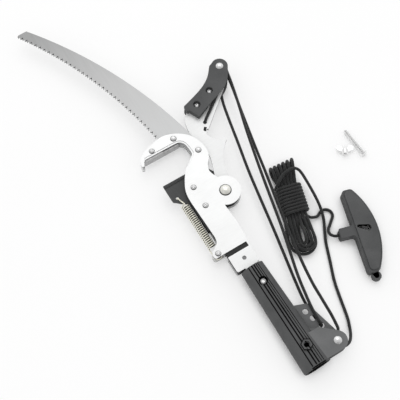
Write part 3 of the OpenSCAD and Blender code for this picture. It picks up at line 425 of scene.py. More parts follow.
back_line = smooth_line(
    [(EYE_X, EYE_TOP, EYE_Z[1]), (EYE_X, 62.4, EYE_Z[1]), (42, 92, -12.3), (47, 124, -11.6),
     (58, 178, -10.4), (67, 223, -9.2), (84, 312, -7), (97, 368, -5.6), (114, 440, -4.2),
     on_wheel(BACK_ON, BACK_Z, -30), on_wheel(BACK_ON, BACK_Z, -10), on_wheel(BACK_ON, BACK_Z)], 12)
over_line = smooth_line(
    [on_wheel(BACK_ON, BACK_Z)] + [on_wheel(a, BACK_Z) for a in range(154, -1, -14)]
    + [on_wheel(BACK_OFF, BACK_Z)], 6)
lead_line = smooth_line(
    [on_wheel(BACK_OFF, BACK_Z), on_wheel(BACK_OFF, BACK_Z, 12), on_wheel(BACK_OFF, BACK_Z, 36),
     (132, 412, -3.3), (116, 345, -2.8), (107, 305, -2.4), (95, 255, -2), (83, 204, -1.5),
     (72.5, 153, -1), (66, 112, -0.5), (63.6, 80, -0.1), (61.8, 54, 0), lead_turn[0]], 12)
for name, line, solid, body in (("rope_start", start_line, "rope_anchor", "lever"),
                                ("rope_front_run", front_line, "rope_front_fall", None),
                                ("rope_in_eye", eye_line, "rope_eye_turn", "head"),
                                ("rope_back_run", back_line, "rope_back_fall", None),
                                ("rope_over_wheel", over_line, "rope_back_turn", "lever"),
                                ("rope_lead_run", lead_line, "rope_lead_fall", None)):
    run = rope_tube(name, line)[0]
    run.data.materials.append(braid)
    if body:
        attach(run, body)
    else:
        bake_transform(run)
    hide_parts(solid)
lever_knot = rope_tube("rope_knot", smooth_line(knot_line(
    lambda x, y, z: Vector((ROPE_HOLE[0] + x, ROPE_HOLE[1] + y, z))), 3), KNOT_R)[0]
lever_knot.data.materials.append(braid)
knot_end = rope_tube("rope_knot_end", smooth_line([
    (ROPE_HOLE[0] + KNOT_END[0] * q, ROPE_HOLE[1] + KNOT_END[1] * q, KNOT_END[2])
    for q in (0.1, 0.5, 0.9, 1.2, 1.45)], 6), KNOT_R)[0]
knot_end.data.materials.append(braid)
joined(lever_knot, knot_end)
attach(lever_knot, "lever")
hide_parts("anchor_knot")

# Socket: the tapered moulding of glass-filled nylon that takes the pole, with the flanges of the
# lower pulley and a hexagon boss for the clamp bolt. Moulded in one shot, edges softly rounded;
# the grooves, the bore, the sides of the boss, a ring round its top and the flange faces towards -y
# are darker with painted shade, and the flat flanges are paler with painted light.
MOUTH_R, NECK_R, SOCKET_L, INSIDE_R = 23.0, 19.0, 178.0, 17.5
UNDER_SKIN, GROOVES_X = 0.35, 12.0
CLAMP_Y, BOSS_R, BOSS_REACH, BOSS_LOW, BOSS_TOP = 34.0, 9.6, 11.5, 20.0, 24.9
SHADE_RING_W, SHADE_RING_H = 1.3, 1.2
FLANGE_X, UNDERSIDE_X = 14.0, 24.0
SAME_POINT, FLAT_UNDER, ROUND_UNDER, EDGE_OVER = 0.002, radians(0.8), radians(34), radians(38)


def eased(name, solid, width, segments=2):
    """A copy of a solid with its faces joined, its edges rounded and its round faces smoothed."""
    bpy.ops.object.select_all(action="DESELECT")
    piece = bpy.data.objects.new(name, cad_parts[solid].data.copy())
    bpy.context.scene.collection.objects.link(piece)
    bpy.context.view_layer.objects.active = piece
    piece.select_set(True)
    piece.data.materials.clear()
    bpy.ops.object.mode_set(mode="EDIT")
    bpy.ops.mesh.select_all(action="SELECT")
    bpy.ops.mesh.remove_doubles(threshold=SAME_POINT * MM)
    bpy.ops.mesh.dissolve_limited(angle_limit=FLAT_UNDER)
    bpy.ops.object.mode_set(mode="OBJECT")
    if width:
        edge = piece.modifiers.new("edge", "BEVEL")
        edge.width, edge.segments = width * MM, segments
        edge.limit_method, edge.angle_limit = "ANGLE", EDGE_OVER
        bpy.ops.object.modifier_apply(modifier="edge")
    bpy.ops.object.shade_smooth_by_angle(angle=ROUND_UNDER)
    normals = piece.modifiers.new("normals", "WEIGHTED_NORMAL")
    normals.keep_sharp = True
    bpy.ops.object.modifier_apply(modifier="normals")
    return piece


def fitted(piece, body, slot, *solids):
    """Puts a finished piece on its body in place of its solids."""
    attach(piece, body)
    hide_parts(*solids)


def moulded(name, dark, light, rough, grain=1500.0, shine=0.12):
    """Moulded plastic: a spark-eroded grain, faint flow marks and a few scuffs."""
    finish, tree, shader, node = new_finish(name)
    at = node("ShaderNodeTexCoord").outputs["Object"]
    flow = node("ShaderNodeTexNoise", {"Vector": at, "Scale": 28.0, "Detail": 3.0,
                                       "Distortion": 0.6})
    speck = node("ShaderNodeTexNoise", {"Vector": at, "Scale": grain, "Detail": 2.0})
    rubbed = node("ShaderNodeMapping", {"Vector": at, "Rotation": (0, 0, 0.6),
                                        "Scale": (60, 700, 60)})
    scuff = node("ShaderNodeTexNoise", {"Vector": rubbed.outputs[0], "Scale": 1.0, "Detail": 2.0})
    tone = node("ShaderNodeMath", {0: flow.outputs["Fac"], 1: speck.outputs["Fac"]},
                operation="MULTIPLY")
    shade = colours(node, tone.outputs[0], (0.12, grey(dark, (1, 1.02, 1.03))),
                    (0.42, grey(light, (1, 1.01, 1.02))))
    tree.links.new(shade, shader.inputs["Base Color"])
    dull = node("ShaderNodeMapRange", {"Value": scuff.outputs["Fac"], "From Min": 0.3,
                                       "From Max": 0.72, "To Min": rough - 0.06,
                                       "To Max": rough + 0.12})
    tree.links.new(dull.outputs[0], shader.inputs["Roughness"])
    lift = node("ShaderNodeBump", {"Height": speck.outputs["Fac"], "Strength": 0.35,
                                   "Distance": 0.00025})
    tree.links.new(lift.outputs["Normal"], shader.inputs["Normal"])
    shader.inputs["Specular IOR Level"].default_value = shine
    return finish


black_nylon = moulded("black_nylon", 0.080, 0.112, rough=0.5, shine=0.04)
painted_shade_nylon = moulded("painted_shade_nylon", 0.004, 0.010, rough=0.6, shine=0.05)
painted_light_nylon = moulded("painted_light_nylon", 0.135, 0.172, rough=0.5)
socket = eased("socket_moulding", "socket", width=0.55, segments=3)
for finish in (black_nylon, painted_shade_nylon, painted_light_nylon):
    socket.data.materials.append(finish)
# Painted shade on the grooves, the bore, the sides of the boss and the flange faces towards -y;
# painted light on the flat faces of the flanges that face up.
for polygon in socket.data.polygons:
    x, y, z = polygon.center / MM
    facing = polygon.normal
    away = hypot(x, z)
    skin = MOUTH_R + (NECK_R - MOUTH_R) * y / SOCKET_L
    in_groove = away < skin - UNDER_SKIN and z > 0 and abs(x) < GROOVES_X
    by_boss = hypot(x, y - CLAMP_Y) < BOSS_REACH and z > BOSS_LOW
    boss_side = by_boss and abs(facing.z) < 0.95 and abs(facing.y) > 0.1
    underside = facing.y < -0.6 and x > UNDERSIDE_X
    if in_groove or boss_side or away < INSIDE_R or underside:
        polygon.material_index = 1
    elif facing.z > 0.85 and x > FLANGE_X:
        polygon.material_index = 2
# A dark hexagon ring of painted shade laid round the top edge of the boss.
bpy.ops.object.select_all(action="DESELECT")
bpy.ops.mesh.primitive_circle_add(vertices=6, radius=BOSS_R * MM, fill_type="NGON",
                                  location=(0, CLAMP_Y * MM, (BOSS_TOP - SHADE_RING_H) * MM))
shade_ring = bpy.context.object
bpy.ops.object.transform_apply(location=True, rotation=True, scale=True)
bpy.ops.object.mode_set(mode="EDIT")
bpy.ops.mesh.select_mode(type="FACE")
bpy.ops.mesh.select_all(action="SELECT")
bpy.ops.mesh.inset(thickness=SHADE_RING_W * MM)
bpy.ops.mesh.delete(type="FACE")
bpy.ops.mesh.select_all(action="SELECT")
bpy.ops.mesh.extrude_region_move(TRANSFORM_OT_translate={"value": (0, 0, SHADE_RING_H * MM)})
bpy.ops.mesh.select_all(action="SELECT")
bpy.ops.mesh.normals_make_consistent(inside=False)
bpy.ops.object.mode_set(mode="OBJECT")
shade_ring.data.materials.append(painted_shade_nylon)
joined(socket, shade_ring)
fitted(socket, "head", "black_plastic", "socket")

# Tang core: the filler between the tangs of the two hook plates, moulded in black nylon. It stands
# in the pocket of the socket and is held there by the tang screw.
dark_nylon = moulded("dark_nylon", 0.040, 0.058, rough=0.5, shine=0.05)
core = eased("tang_filler", "tang_core", width=0.3)
core.data.materials.append(dark_nylon)
fitted(core, "head", "black_plastic", "tang_core")

# Hook plates: two nickel-plated plates of 2.5 mm steel, blanked and polished, that clasp the saw,
# the hook block and the blade guides. The cut edges are duller than the faces and painted darker
# as shade.


def metal(name, dark, light, rough, polish, grain=(60, 1100, 60), depth=0.05, tint=(1, 1, 1)):
    """Worked metal: fine lines along the way it was ground, soft clouds and a little wear."""
    finish, tree, shader, node = new_finish(name)
    at = node("ShaderNodeTexCoord").outputs["Object"]
    ground = node("ShaderNodeMapping", {"Vector": at, "Scale": grain})
    lines = node("ShaderNodeTexNoise", {"Vector": ground.outputs[0], "Scale": 1.0, "Detail": 4.0})
    cloud = node("ShaderNodeTexNoise", {"Vector": at, "Scale": 22.0, "Detail": 3.0})
    tone = node("ShaderNodeMix", {0: 0.4, 2: lines.outputs["Fac"], 3: cloud.outputs["Fac"]})
    shade = colours(node, tone.outputs[0], (0.3, grey(dark, tint)), (0.7, grey(light, tint)))
    tree.links.new(shade, shader.inputs["Base Color"])
    dull = node("ShaderNodeMapRange", {"Value": tone.outputs[0], "From Min": 0.3, "From Max": 0.7,
                                       "To Min": rough + 0.06, "To Max": rough - 0.05})
    tree.links.new(dull.outputs[0], shader.inputs["Roughness"])
    lift = node("ShaderNodeBump", {"Height": lines.outputs["Fac"], "Strength": depth,
                                   "Distance": 0.0001})
    tree.links.new(lift.outputs["Normal"], shader.inputs["Normal"])
    shader.inputs["Metallic"].default_value = polish
    return finish


def edged(piece, face, edge, steep=0.5):
    """Gives a piece one finish on its faces and another on its steep faces, for cut edges and
    painted shade.
    """
    piece.data.materials.append(face)
    piece.data.materials.append(edge)
    for polygon in piece.data.polygons:
        polygon.material_index = 1 if abs(polygon.normal.z) < steep else 0


bright_nickel = metal("bright_nickel", 0.85, 0.89, rough=0.32, polish=0.35, depth=0.03,
                      tint=(0.995, 1, 0.998))
dull_steel_and_shade = metal("dull_steel_and_shade", 0.20, 0.32, rough=0.42, polish=0.8, grain=(500, 500, 60), depth=0.2)
for name, solid in (("front_hook", "front_hook_plate"), ("back_hook", "back_hook_plate")):
    plate = eased(name, solid, width=0.3)
    edged(plate, bright_nickel, dull_steel_and_shade)
    fitted(plate, "head", "plate_steel", solid)

# Hook block: the solid steel spacer that backs the hook between the plates and takes the cut. It is
# ground to its shape, left grey and held by the rivet and the screw of the beak.
block_grey = metal("block_grey", 0.34, 0.48, rough=0.4, polish=0.8, grain=(700, 60, 60), depth=0.12)
block = eased("hook_spacer", "hook_block", width=0.25)
block.data.materials.append(block_grey)
fitted(block, "head", "block_steel", "hook_block")

# Blade guides: thin slips of black nylon between the plates, one on each side of the moving parts.
# They are stamped from sheet and held by the short plate screws.
for name, solid in (("front_slip", "blade_guide_front"), ("back_slip", "blade_guide_back")):
    slip = eased(name, solid, width=0.12, segments=1)
    slip.data.materials.append(dark_nylon)
    fitted(slip, "head", "black_plastic", solid)

# Saw: a bowed blade of spring steel, ground along its length, riveted under the front plate. Its
# teeth are ground by turns from the one face and from the other.
SAW_ENDS = (Vector((-15.5, 438.2)), Vector((-124.2, 735.4)))
SAW_R, TOOTH, PITCH = 735.0, 5.2, 4.5
ROOT_AT, ROOT_BAND, BEVEL, TOOTH_SHADE_BAND = 0.75, 0.3, 0.5, 0.5
SAW_PALE_Y, SAW_DARK_Y = 430.0, 720.0
saw_chord = SAW_ENDS[1] - SAW_ENDS[0]
saw_mid = ((SAW_ENDS[0] + SAW_ENDS[1]) / 2 + sqrt(SAW_R ** 2 - saw_chord.length_squared / 4)
           * Vector((-saw_chord.y, saw_chord.x)).normalized())
saw_from = atan2(SAW_ENDS[0].y - saw_mid.y, SAW_ENDS[0].x - saw_mid.x)
saw = eased("saw_blade_ground", "saw_blade", width=0)
saw_z = (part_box("saw_blade")[0][2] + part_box("saw_blade")[1][2]) / 2
for vertex in saw.data.vertices:
    out = Vector((vertex.co.x, vertex.co.y)) / MM - saw_mid
    if abs(out.length - SAW_R - TOOTH) < ROOT_BAND:
        count = round((atan2(out.y, out.x) - saw_from) * SAW_R / PITCH - ROOT_AT)
        if (vertex.co.z > saw_z) == (count % 2 == 0):
            back = out.normalized() * -BEVEL * TOOTH * MM
            vertex.co += Vector((back.x, back.y, 0))
saw.data.update()
saw_finish, saw_tree, saw_shader, saw_node = new_finish("ground_saw_steel")
saw_at = saw_node("ShaderNodeTexCoord").outputs["Object"]
saw_ground = saw_node("ShaderNodeMapping", {"Vector": saw_at, "Rotation": (0, 0, 0.35),
                                            "Scale": (1300, 25, 40)})
saw_lines = saw_node("ShaderNodeTexNoise", {"Vector": saw_ground.outputs[0], "Scale": 1.0,
                                            "Detail": 4.0})
# Painted light: the blade is paler at its root and darker towards its tip.
saw_split = saw_node("ShaderNodeSeparateXYZ", {"Vector": saw_at})
saw_far = saw_node("ShaderNodeMapRange", {"Value": saw_split.outputs["Y"],
                                          "From Min": SAW_PALE_Y * MM,
                                          "From Max": SAW_DARK_Y * MM})
saw_tone = saw_node("ShaderNodeMix", {0: 0.22, 2: saw_far.outputs[0], 3: saw_lines.outputs["Fac"]})
saw_shade = colours(saw_node, saw_tone.outputs[0], (0.0, grey(0.56, (0.99, 1, 1))),
                    (0.5, grey(0.47)), (1.0, grey(0.325, (1, 1.01, 1.01))))
saw_tree.links.new(saw_shade, saw_shader.inputs["Base Color"])
saw_dull = saw_node("ShaderNodeMapRange", {"Value": saw_lines.outputs["Fac"], "To Min": 0.3,
                                           "To Max": 0.45})
saw_tree.links.new(saw_dull.outputs[0], saw_shader.inputs["Roughness"])
saw_lift = saw_node("ShaderNodeBump", {"Height": saw_lines.outputs["Fac"], "Strength": 0.12,
                                       "Distance": 0.0001})
saw_tree.links.new(saw_lift.outputs["Normal"], saw_shader.inputs["Normal"])
saw_shader.inputs["Metallic"].default_value = 0.75
# Painted shade: the steep faces of the teeth and their gullets are nearly black.
tooth_painted_shade = metal("tooth_painted_shade", 0.02, 0.06, rough=0.35, polish=0.85, grain=(300, 900, 300),
                    depth=0.15)
edged(saw, saw_finish, tooth_painted_shade, steep=0.98)
for polygon in saw.data.polygons:
    if (Vector(polygon.center[:2]) / MM - saw_mid).length > SAW_R + TOOTH + TOOTH_SHADE_BAND:
        polygon.material_index = 0
fitted(saw, "head", "saw_steel", "saw_blade")

# Fasteners of the head: zinc-plated cross-head screws with their nuts, the two steel rivets of the
# hook and saw, the sleeve that the spring hooks round and the flush pin above the tang. The steep
# faces of the heads, nuts and sleeve are darker than their tops with painted shade, and the pin is
# painted darker all over as shade.
STEEP = 0.68
bright_zinc = metal("bright_zinc", 0.92, 0.97, rough=0.22, polish=0.7, grain=(400, 400, 400),
                    depth=0.04)
zinc_painted_shade = metal("zinc_painted_shade", 0.06, 0.13, rough=0.34, polish=0.8, grain=(400, 400, 400),
                   depth=0.08)
dull_zinc = metal("dull_zinc", 0.50, 0.66, rough=0.34, polish=1.0, grain=(500, 500, 500),
                  depth=0.08, tint=(1, 1, 0.98))
for solid, finish in (("plate_screws", bright_zinc), ("beak_screw", bright_zinc),
                      ("ear_screw", bright_zinc), ("tang_screw", bright_zinc),
                      ("beak_rivet", bright_zinc), ("saw_rivet", bright_zinc),
                      ("screw_nuts", dull_zinc), ("tang_nut", dull_zinc),
                      ("ear_sleeve", dull_zinc), ("plate_pin", dull_steel_and_shade)):
    fastener = eased(solid + "_plated", solid, width=0.18)
    edged(fastener, finish, zinc_painted_shade, STEEP)
    fitted(fastener, "head", "zinc", solid)

# Main pivot: one large domed rivet of steel with a pale yellow chromate finish. It is closed over
# both hook plates, and the lever turns on its shank.
PIVOT_STEEP = 0.8
yellow_zinc = metal("yellow_zinc", 0.95, 0.99, rough=0.20, polish=0.6, grain=(350, 350, 350),
                    depth=0.05, tint=(1, 0.995, 0.93))
pivot = eased("pivot_dome", "pivot_rivet", width=0.3, segments=3)
# Painted shade on the steep rim of the dome, all round.
edged(pivot, yellow_zinc, zinc_painted_shade, PIVOT_STEEP)
fitted(pivot, "head", "yellow_zinc", "pivot_rivet")

# Lower pulley: a grooved wheel of black nylon that turns the rope between the flanges of the
# socket, on a zinc-plated steel axle headed at both ends.
wheel_nylon = moulded("wheel_nylon", 0.012, 0.026, rough=0.38, grain=1100.0)
lower_axle = eased("lower_axle_plated", "lower_axle", width=0.25)
# Painted shade on the steep rims of the axle heads.
edged(lower_axle, bright_zinc, zinc_painted_shade, STEEP)
fitted(lower_axle, "head", "zinc", "lower_axle")
lower_wheel = eased("lower_wheel_grooved", "lower_pulley", width=0.25)
lower_wheel.data.materials.append(wheel_nylon)
fitted(lower_wheel, "lower_wheel", "black_plastic", "lower_pulley")

# Lever: a plate of 4 mm steel, blanked and nickel-plated like the hook, that turns on the pivot and
# carries the blade below and the pulley housing above.
# Painted shade: the faces are a darker grey than the nickel of the hook plates, and the cut edges
# darker still.
nickel_painted_shade = metal("nickel_painted_shade", 0.76, 0.82, rough=0.34, polish=0.35, depth=0.03,
                    tint=(0.995, 1, 0.998))
lever = eased("lever_plate", "lever_arm", width=0.35)
edged(lever, nickel_painted_shade, dull_steel_and_shade)
fitted(lever, "lever", "plate_steel", "lever_arm")

# Cutting blade: oxide-black tool steel with a ground edge along its top, riveted flat on the lever
# with two pins.
blade_oxide = metal("blade_oxide", 0.046, 0.064, rough=0.50, polish=0.1, grain=(900, 60, 60),
                    depth=0.08, tint=(0.97, 1, 1.01))
edge_grind = metal("edge_grind", 0.052, 0.072, rough=0.46, polish=0.2, grain=(900, 40, 60),
                   depth=0.15)
blade = eased("blade_ground", "cutting_blade", width=0.2)
blade.data.materials.append(blade_oxide)
blade.data.materials.append(edge_grind)
for polygon in blade.data.polygons:
    facing = polygon.normal
    on_edge = facing.y > 0.2 and facing.z > 0.3 and abs(facing.x) < 0.2
    polygon.material_index = 1 if on_edge else 0
fitted(blade, "lever", "blade_black", "cutting_blade")
pins = eased("blade_pins", "blade_rivets", width=0.2)
pins.data.materials.append(dull_zinc)
fitted(pins, "lever", "zinc", "blade_rivets")

# Pulley housing: two moulded cheeks of black nylon, screwed together through the lever, with the
# two upper wheels side by side on one headed axle.
for name, solid in (("front_cheek_moulding", "front_cheek"), ("back_cheek_moulding", "back_cheek")):
    cheek = eased(name, solid, width=0.4, segments=3)
    cheek.data.materials.append(black_nylon)
    fitted(cheek, "lever", "black_plastic", solid)
# Painted shade on the steep faces of the screw heads, nuts and axle.
for solid, finish in (("cheek_screws", bright_zinc), ("cheek_nuts", dull_zinc),
                      ("upper_axle", bright_zinc)):
    fastener = eased(solid + "_plated", solid, width=0.2)
    edged(fastener, finish, zinc_painted_shade, STEEP)
    fitted(fastener, "lever", "zinc", solid)
for solid, body in (("front_pulley", "front_wheel"), ("back_pulley", "back_wheel")):
    wheel = eased(solid + "_grooved", solid, width=0.25)
    wheel.data.materials.append(wheel_nylon)
    fitted(wheel, body, "black_plastic", solid)

# Return spring: 2 mm wire with a yellow chromate finish, close-wound in 23 coils, with a hook round
# the ear sleeve and one through the hole in the blade. The crests of the coils are bright and the
# gaps between them dark.
EAR, EAR_HOOK_R = (-33.5, 222.5), 5.7
SPRING_X, SPRING_Y, SPRING_Z = -34.0, (239.0, 321.0), -1.75
SPRING_HOLE = (-38.0, 337.0)
COILS, COIL_STEPS, COIL_R, WIRE_R = 23, 24, 6.0, 1.0
GAP_R, CREST_R, HOOK_FROM = COIL_R - 0.3, COIL_R + 0.75, 2.0
ear_hook = [(EAR[0] - EAR_HOOK_R * cos(a), EAR[1] - EAR_HOOK_R * sin(a), SPRING_Z)
            for a in [radians(180 - 10 * i) for i in range(19)]]
coils = []
coil_end = COIL_STEPS * COILS + COIL_STEPS // 4
for i in range(coil_end + 1):
    a = radians(180 - 360 / COIL_STEPS * i)
    coils.append((SPRING_X + COIL_R * cos(a),
                  SPRING_Y[0] + (SPRING_Y[1] - SPRING_Y[0]) * i / coil_end,
                  SPRING_Z + COIL_R * sin(a)))
wire_line = smooth_line(ear_hook + [
    (EAR[0] - 6.1, EAR[1] + 6, SPRING_Z),
    (SPRING_X - 6, SPRING_Y[0] - 4.5, SPRING_Z - 0.3)] + coils[:1], 3)
wire_line += [Vector(q) for q in coils[1:-1]]
wire_line += smooth_line(coils[-1:] + [
    (SPRING_X - 1, SPRING_Y[1] + 3.5, SPRING_Z + 5.4), (SPRING_X - 2.6, SPRING_Y[1] + 8.5, 2.6),
    (SPRING_HOLE[0] + 0.5, SPRING_HOLE[1] - 3.2, 1.7), (SPRING_HOLE[0], SPRING_HOLE[1] - 0.8, 0.9),
    (*SPRING_HOLE, -1.4), (*SPRING_HOLE, -5.5)], 6)
spring = rope_tube("spring_coils", wire_line, WIRE_R)[0]
spring_zinc, wire_tree, wire_shader, wire_node = new_finish("spring_zinc")
wire_at = wire_node("ShaderNodeTexCoord").outputs["Object"]
wire_off = wire_node("ShaderNodeVectorMath", {0: wire_at, 1: (SPRING_X * MM, 0, SPRING_Z * MM)},
                     operation="SUBTRACT")
wire_flat = wire_node("ShaderNodeVectorMath", {0: wire_off.outputs[0], 1: (1, 0, 1)},
                      operation="MULTIPLY")
wire_out = wire_node("ShaderNodeVectorMath", {0: wire_flat.outputs[0]}, operation="LENGTH")
wire_cloud = wire_node("ShaderNodeTexNoise", {"Vector": wire_at, "Scale": 420.0, "Detail": 3.0})
# Painted light and shade: the wire is bright on the outer crests of the coils and on its hooks, and
# dark on its inner side and in the gaps between coils.
wire_side = wire_node("ShaderNodeMapRange", {"Value": wire_out.outputs["Value"],
                                             "From Min": GAP_R * MM, "From Max": CREST_R * MM})
wire_split = wire_node("ShaderNodeSeparateXYZ", {"Vector": wire_at})
wire_past = wire_node("ShaderNodeMath", {0: wire_split.outputs["Y"], 1: sum(SPRING_Y) / 2 * MM},
                      operation="SUBTRACT")
wire_far = wire_node("ShaderNodeMath", {0: wire_past.outputs[0]}, operation="ABSOLUTE")
wire_hook = wire_node("ShaderNodeMath", {
    0: wire_far.outputs[0], 1: ((SPRING_Y[1] - SPRING_Y[0]) / 2 + HOOK_FROM) * MM},
    operation="GREATER_THAN")
wire_painted_light = wire_node("ShaderNodeMath", {0: wire_side.outputs[0], 1: wire_hook.outputs[0]},
                       operation="MAXIMUM")
wire_tone = wire_node("ShaderNodeMix", {0: 0.12, 2: wire_painted_light.outputs[0],
                                        3: wire_cloud.outputs["Fac"]})
wire_shade = colours(wire_node, wire_tone.outputs[0], (0.28, grey(0.012, (1, 0.97, 0.80))),
                     (0.55, grey(0.10, (1, 0.97, 0.80))), (0.76, grey(0.95, (1, 0.98, 0.84))))
wire_tree.links.new(wire_shade, wire_shader.inputs["Base Color"])
wire_dull = wire_node("ShaderNodeMapRange", {"Value": wire_cloud.outputs["Fac"], "To Min": 0.22,
                                             "To Max": 0.36})
wire_tree.links.new(wire_dull.outputs[0], wire_shader.inputs["Roughness"])
wire_shader.inputs["Metallic"].default_value = 0.4
spring.data.materials.append(spring_zinc)
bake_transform(spring)
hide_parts("return_spring")

# Pull handle: a bar moulded in black nylon with a hollow stem for the rope, whose knot sits in the
# pocket of the bar, and a ring eye on its end. It lies on the rope's free end.
KEYHOLE, KEYHOLE_R = on_handle(3.0, STEM_S, 0).xy, 9.0
KNOT_FROM = -6.1
grip = eased("handle_moulding", "pull_handle", width=1.5, segments=4)
grip.data.materials.append(black_nylon)
grip.data.materials.append(painted_shade_nylon)
# Painted shade: the steep faces round the keyhole pocket are nearly black.
for polygon in grip.data.polygons:
    if abs(polygon.normal.z) < 0.6 and (polygon.center.xy / MM - KEYHOLE).length < KEYHOLE_R:
        polygon.material_index = 1
fitted(grip, "head", "black_plastic", "pull_handle")
ring = eased("handle_ring", "handle_eye", width=0.8, segments=3)
ring.data.materials.append(black_nylon)
fitted(ring, "head", "black_plastic", "handle_eye")
stop = rope_tube("handle_stopper", smooth_line(knot_line(
    lambda x, y, z: on_handle(KNOT_FROM - z, STEM_S + y, x)), 3), KNOT_R)[0]
stop.data.materials.append(braid)
fitted(stop, "head", "rope", "handle_knot")

# Clamp bolt and wing nut: zinc-plated steel, loose beside the head until the pole is in. The
# hexagon bolt has a rolled thread along its whole shank, and the wing nut is cast.
BOLT_AT, BOLT_TURN = Vector((267.0, 254.0, -18.0)), radians(2.5)
BOLT_L, BOLT_R, THREAD = 48.0, 3.0, 1.0
THREAD_CUT, POINT_CUT = (0.5, 0.1, 0.0, 0.4), 0.7
THREAD_STEP = THREAD / len(THREAD_CUT)
THREAD_STEPS = round(BOLT_L / THREAD_STEP)
HEAD_FLAT, HEAD_H, HEAD_EDGE = 5.0, 4.0, 0.35
bpy.ops.object.select_all(action="DESELECT")
bpy.ops.mesh.primitive_circle_add(vertices=32, radius=BOLT_R * MM, fill_type="NGON")
bolt = bpy.context.object
bolt.name = "clamp_bolt_threaded"
bpy.ops.object.mode_set(mode="EDIT")
bpy.ops.mesh.select_all(action="SELECT")
for i in range(THREAD_STEPS):
    bpy.ops.mesh.extrude_region_move(TRANSFORM_OT_translate={"value": (0, 0, THREAD_STEP * MM)})
bpy.ops.mesh.select_all(action="SELECT")
bpy.ops.mesh.normals_make_consistent(inside=False)
bpy.ops.object.mode_set(mode="OBJECT")
for vertex in bolt.data.vertices:
    level = round(vertex.co.z / (THREAD_STEP * MM))
    cut = THREAD_CUT[level % len(THREAD_CUT)] if level < THREAD_STEPS - 2 else POINT_CUT
    vertex.co.x, vertex.co.y = vertex.co.xy.normalized() * (BOLT_R - cut) * MM
bpy.ops.object.select_all(action="DESELECT")
bpy.ops.mesh.primitive_cylinder_add(vertices=6, radius=HEAD_FLAT / cos(pi / 6) * MM,
                                    depth=HEAD_H * MM, location=(0, 0, -HEAD_H / 2 * MM))
hexagon = bpy.context.object
bpy.ops.object.mode_set(mode="EDIT")
bpy.ops.mesh.select_all(action="SELECT")
bpy.ops.mesh.bevel(offset=HEAD_EDGE * MM, segments=2, affect="EDGES")
bpy.ops.object.mode_set(mode="OBJECT")
bpy.ops.object.transform_apply(location=True, rotation=True, scale=True)
joined(bolt, hexagon)
bolt.data.transform(Matrix.Translation(BOLT_AT * MM) @ Matrix.Rotation(BOLT_TURN, 4, "Z")
                    @ Matrix.Rotation(radians(-90), 4, "X"))
bpy.ops.object.shade_smooth_by_angle(angle=ROUND_UNDER)
bolt.data.materials.append(bright_zinc)
fitted(bolt, "head", "zinc", "clamp_bolt")
wing = eased("wing_nut_cast", "wing_nut", width=0.5, segments=3)
wing.data.materials.append(bright_zinc)
fitted(wing, "head", "zinc", "wing_nut")

# Floor and light: a pale table under plain soft light. For the camera and for reflections the table
# is lifted towards white where it is open, and keeps its shadow close to the tool. Reflections see
# a room that is bright behind the tool and dark towards its front left.
TABLE_SIZE, SHADOW_REACH, TABLE_LIFT = 40, 0.017, 0.6
DARK_SIDE, ROOM_LIGHT = (-0.52, -0.85, 0), 0.92
TABLE_MID = Vector((0, 0.3, TABLE * MM))
LIT_AT = Vector((0, 0.3, 0))
bpy.ops.object.select_all(action="DESELECT")
bpy.ops.mesh.primitive_plane_add(size=TABLE_SIZE, location=TABLE_MID)
floor = bpy.context.object
floor.name = "table_top"
bpy.ops.object.transform_apply(location=True, rotation=True, scale=True)
table_finish, table_tree, table_shader, table_node = new_finish("pale_table")
table_at = table_node("ShaderNodeTexCoord").outputs["Object"]
table_grain = table_node("ShaderNodeTexNoise", {"Vector": table_at, "Scale": 3.0})
table_shade = colours(table_node, table_grain.outputs["Fac"], (0.3, grey(0.93)), (0.7, grey(0.95)))
table_tree.links.new(table_shade, table_shader.inputs["Base Color"])
table_shader.inputs["Roughness"].default_value = 0.7
table_shader.inputs["Specular IOR Level"].default_value = 0.1
table_path = table_node("ShaderNodeLightPath")
table_rays = table_node("ShaderNodeMath", {0: table_path.outputs["Is Camera Ray"],
                                           1: table_path.outputs["Is Glossy Ray"]},
                        operation="MAXIMUM")
table_open = table_node("ShaderNodeAmbientOcclusion", {"Distance": SHADOW_REACH})
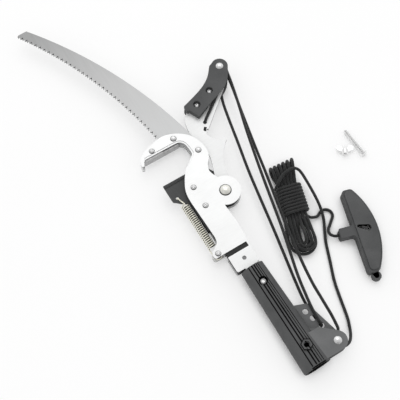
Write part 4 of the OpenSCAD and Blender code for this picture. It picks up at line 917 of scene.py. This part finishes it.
table_lift = table_node("ShaderNodeMapRange", {"Value": table_open.outputs["AO"], "From Min": 0.5,
                                               "From Max": 0.97, "To Max": TABLE_LIFT})
table_seen = table_node("ShaderNodeMath", {0: table_rays.outputs[0], 1: table_lift.outputs[0]},
                        operation="MULTIPLY")
table_white = table_node("ShaderNodeEmission")
table_mix = table_node("ShaderNodeMixShader", {0: table_seen.outputs[0], 1: table_shader.outputs[0],
                                               2: table_white.outputs[0]})
table_tree.links.new(table_mix.outputs[0], table_tree.nodes["Material Output"].inputs["Surface"])
floor.data.materials.append(table_finish)
world = bpy.data.worlds.new("studio")
bpy.context.scene.world = world
world.use_nodes = True
sky_node = node_maker(world.node_tree)
sky_at = sky_node("ShaderNodeTexCoord").outputs["Generated"]
sky_toward = sky_node("ShaderNodeVectorMath", {0: sky_at, 1: DARK_SIDE}, operation="DOT_PRODUCT")
sky_half = sky_node("ShaderNodeMapRange", {"Value": sky_toward.outputs["Value"], "From Min": -1.0})
sky_side = colours(sky_node, sky_half.outputs[0], (0.0, grey(0.85)), (1.0, grey(0.03)))
sky_path = sky_node("ShaderNodeLightPath")
sky_level = sky_node("ShaderNodeMix", {0: sky_path.outputs["Is Glossy Ray"],
                                       6: (*grey(ROOM_LIGHT), 1), 7: sky_side}, data_type="RGBA")
sky_seen = sky_node("ShaderNodeMix", {0: sky_path.outputs["Is Camera Ray"],
                                      6: sky_level.outputs[2], 7: (1, 1, 1, 1)}, data_type="RGBA")
background = world.node_tree.nodes["Background"]
world.node_tree.links.new(sky_seen.outputs[2], background.inputs["Color"])
background.inputs["Strength"].default_value = 1.0
for name, at, size, power in (("key", Vector((0.6, 1.3, 1.8)), 1.6, 7),
                              ("fill", Vector((-1.2, -0.3, 1.6)), 1.4, 1.0)):
    lamp = bpy.data.lights.new(name, "AREA")
    lamp.size = size
    lamp.energy = power
    stand = bpy.data.objects.new(name, lamp)
    stand.location = at
    stand.rotation_euler = (LIT_AT - at).to_track_quat("-Z", "Y").to_euler()
    bpy.context.scene.collection.objects.link(stand)
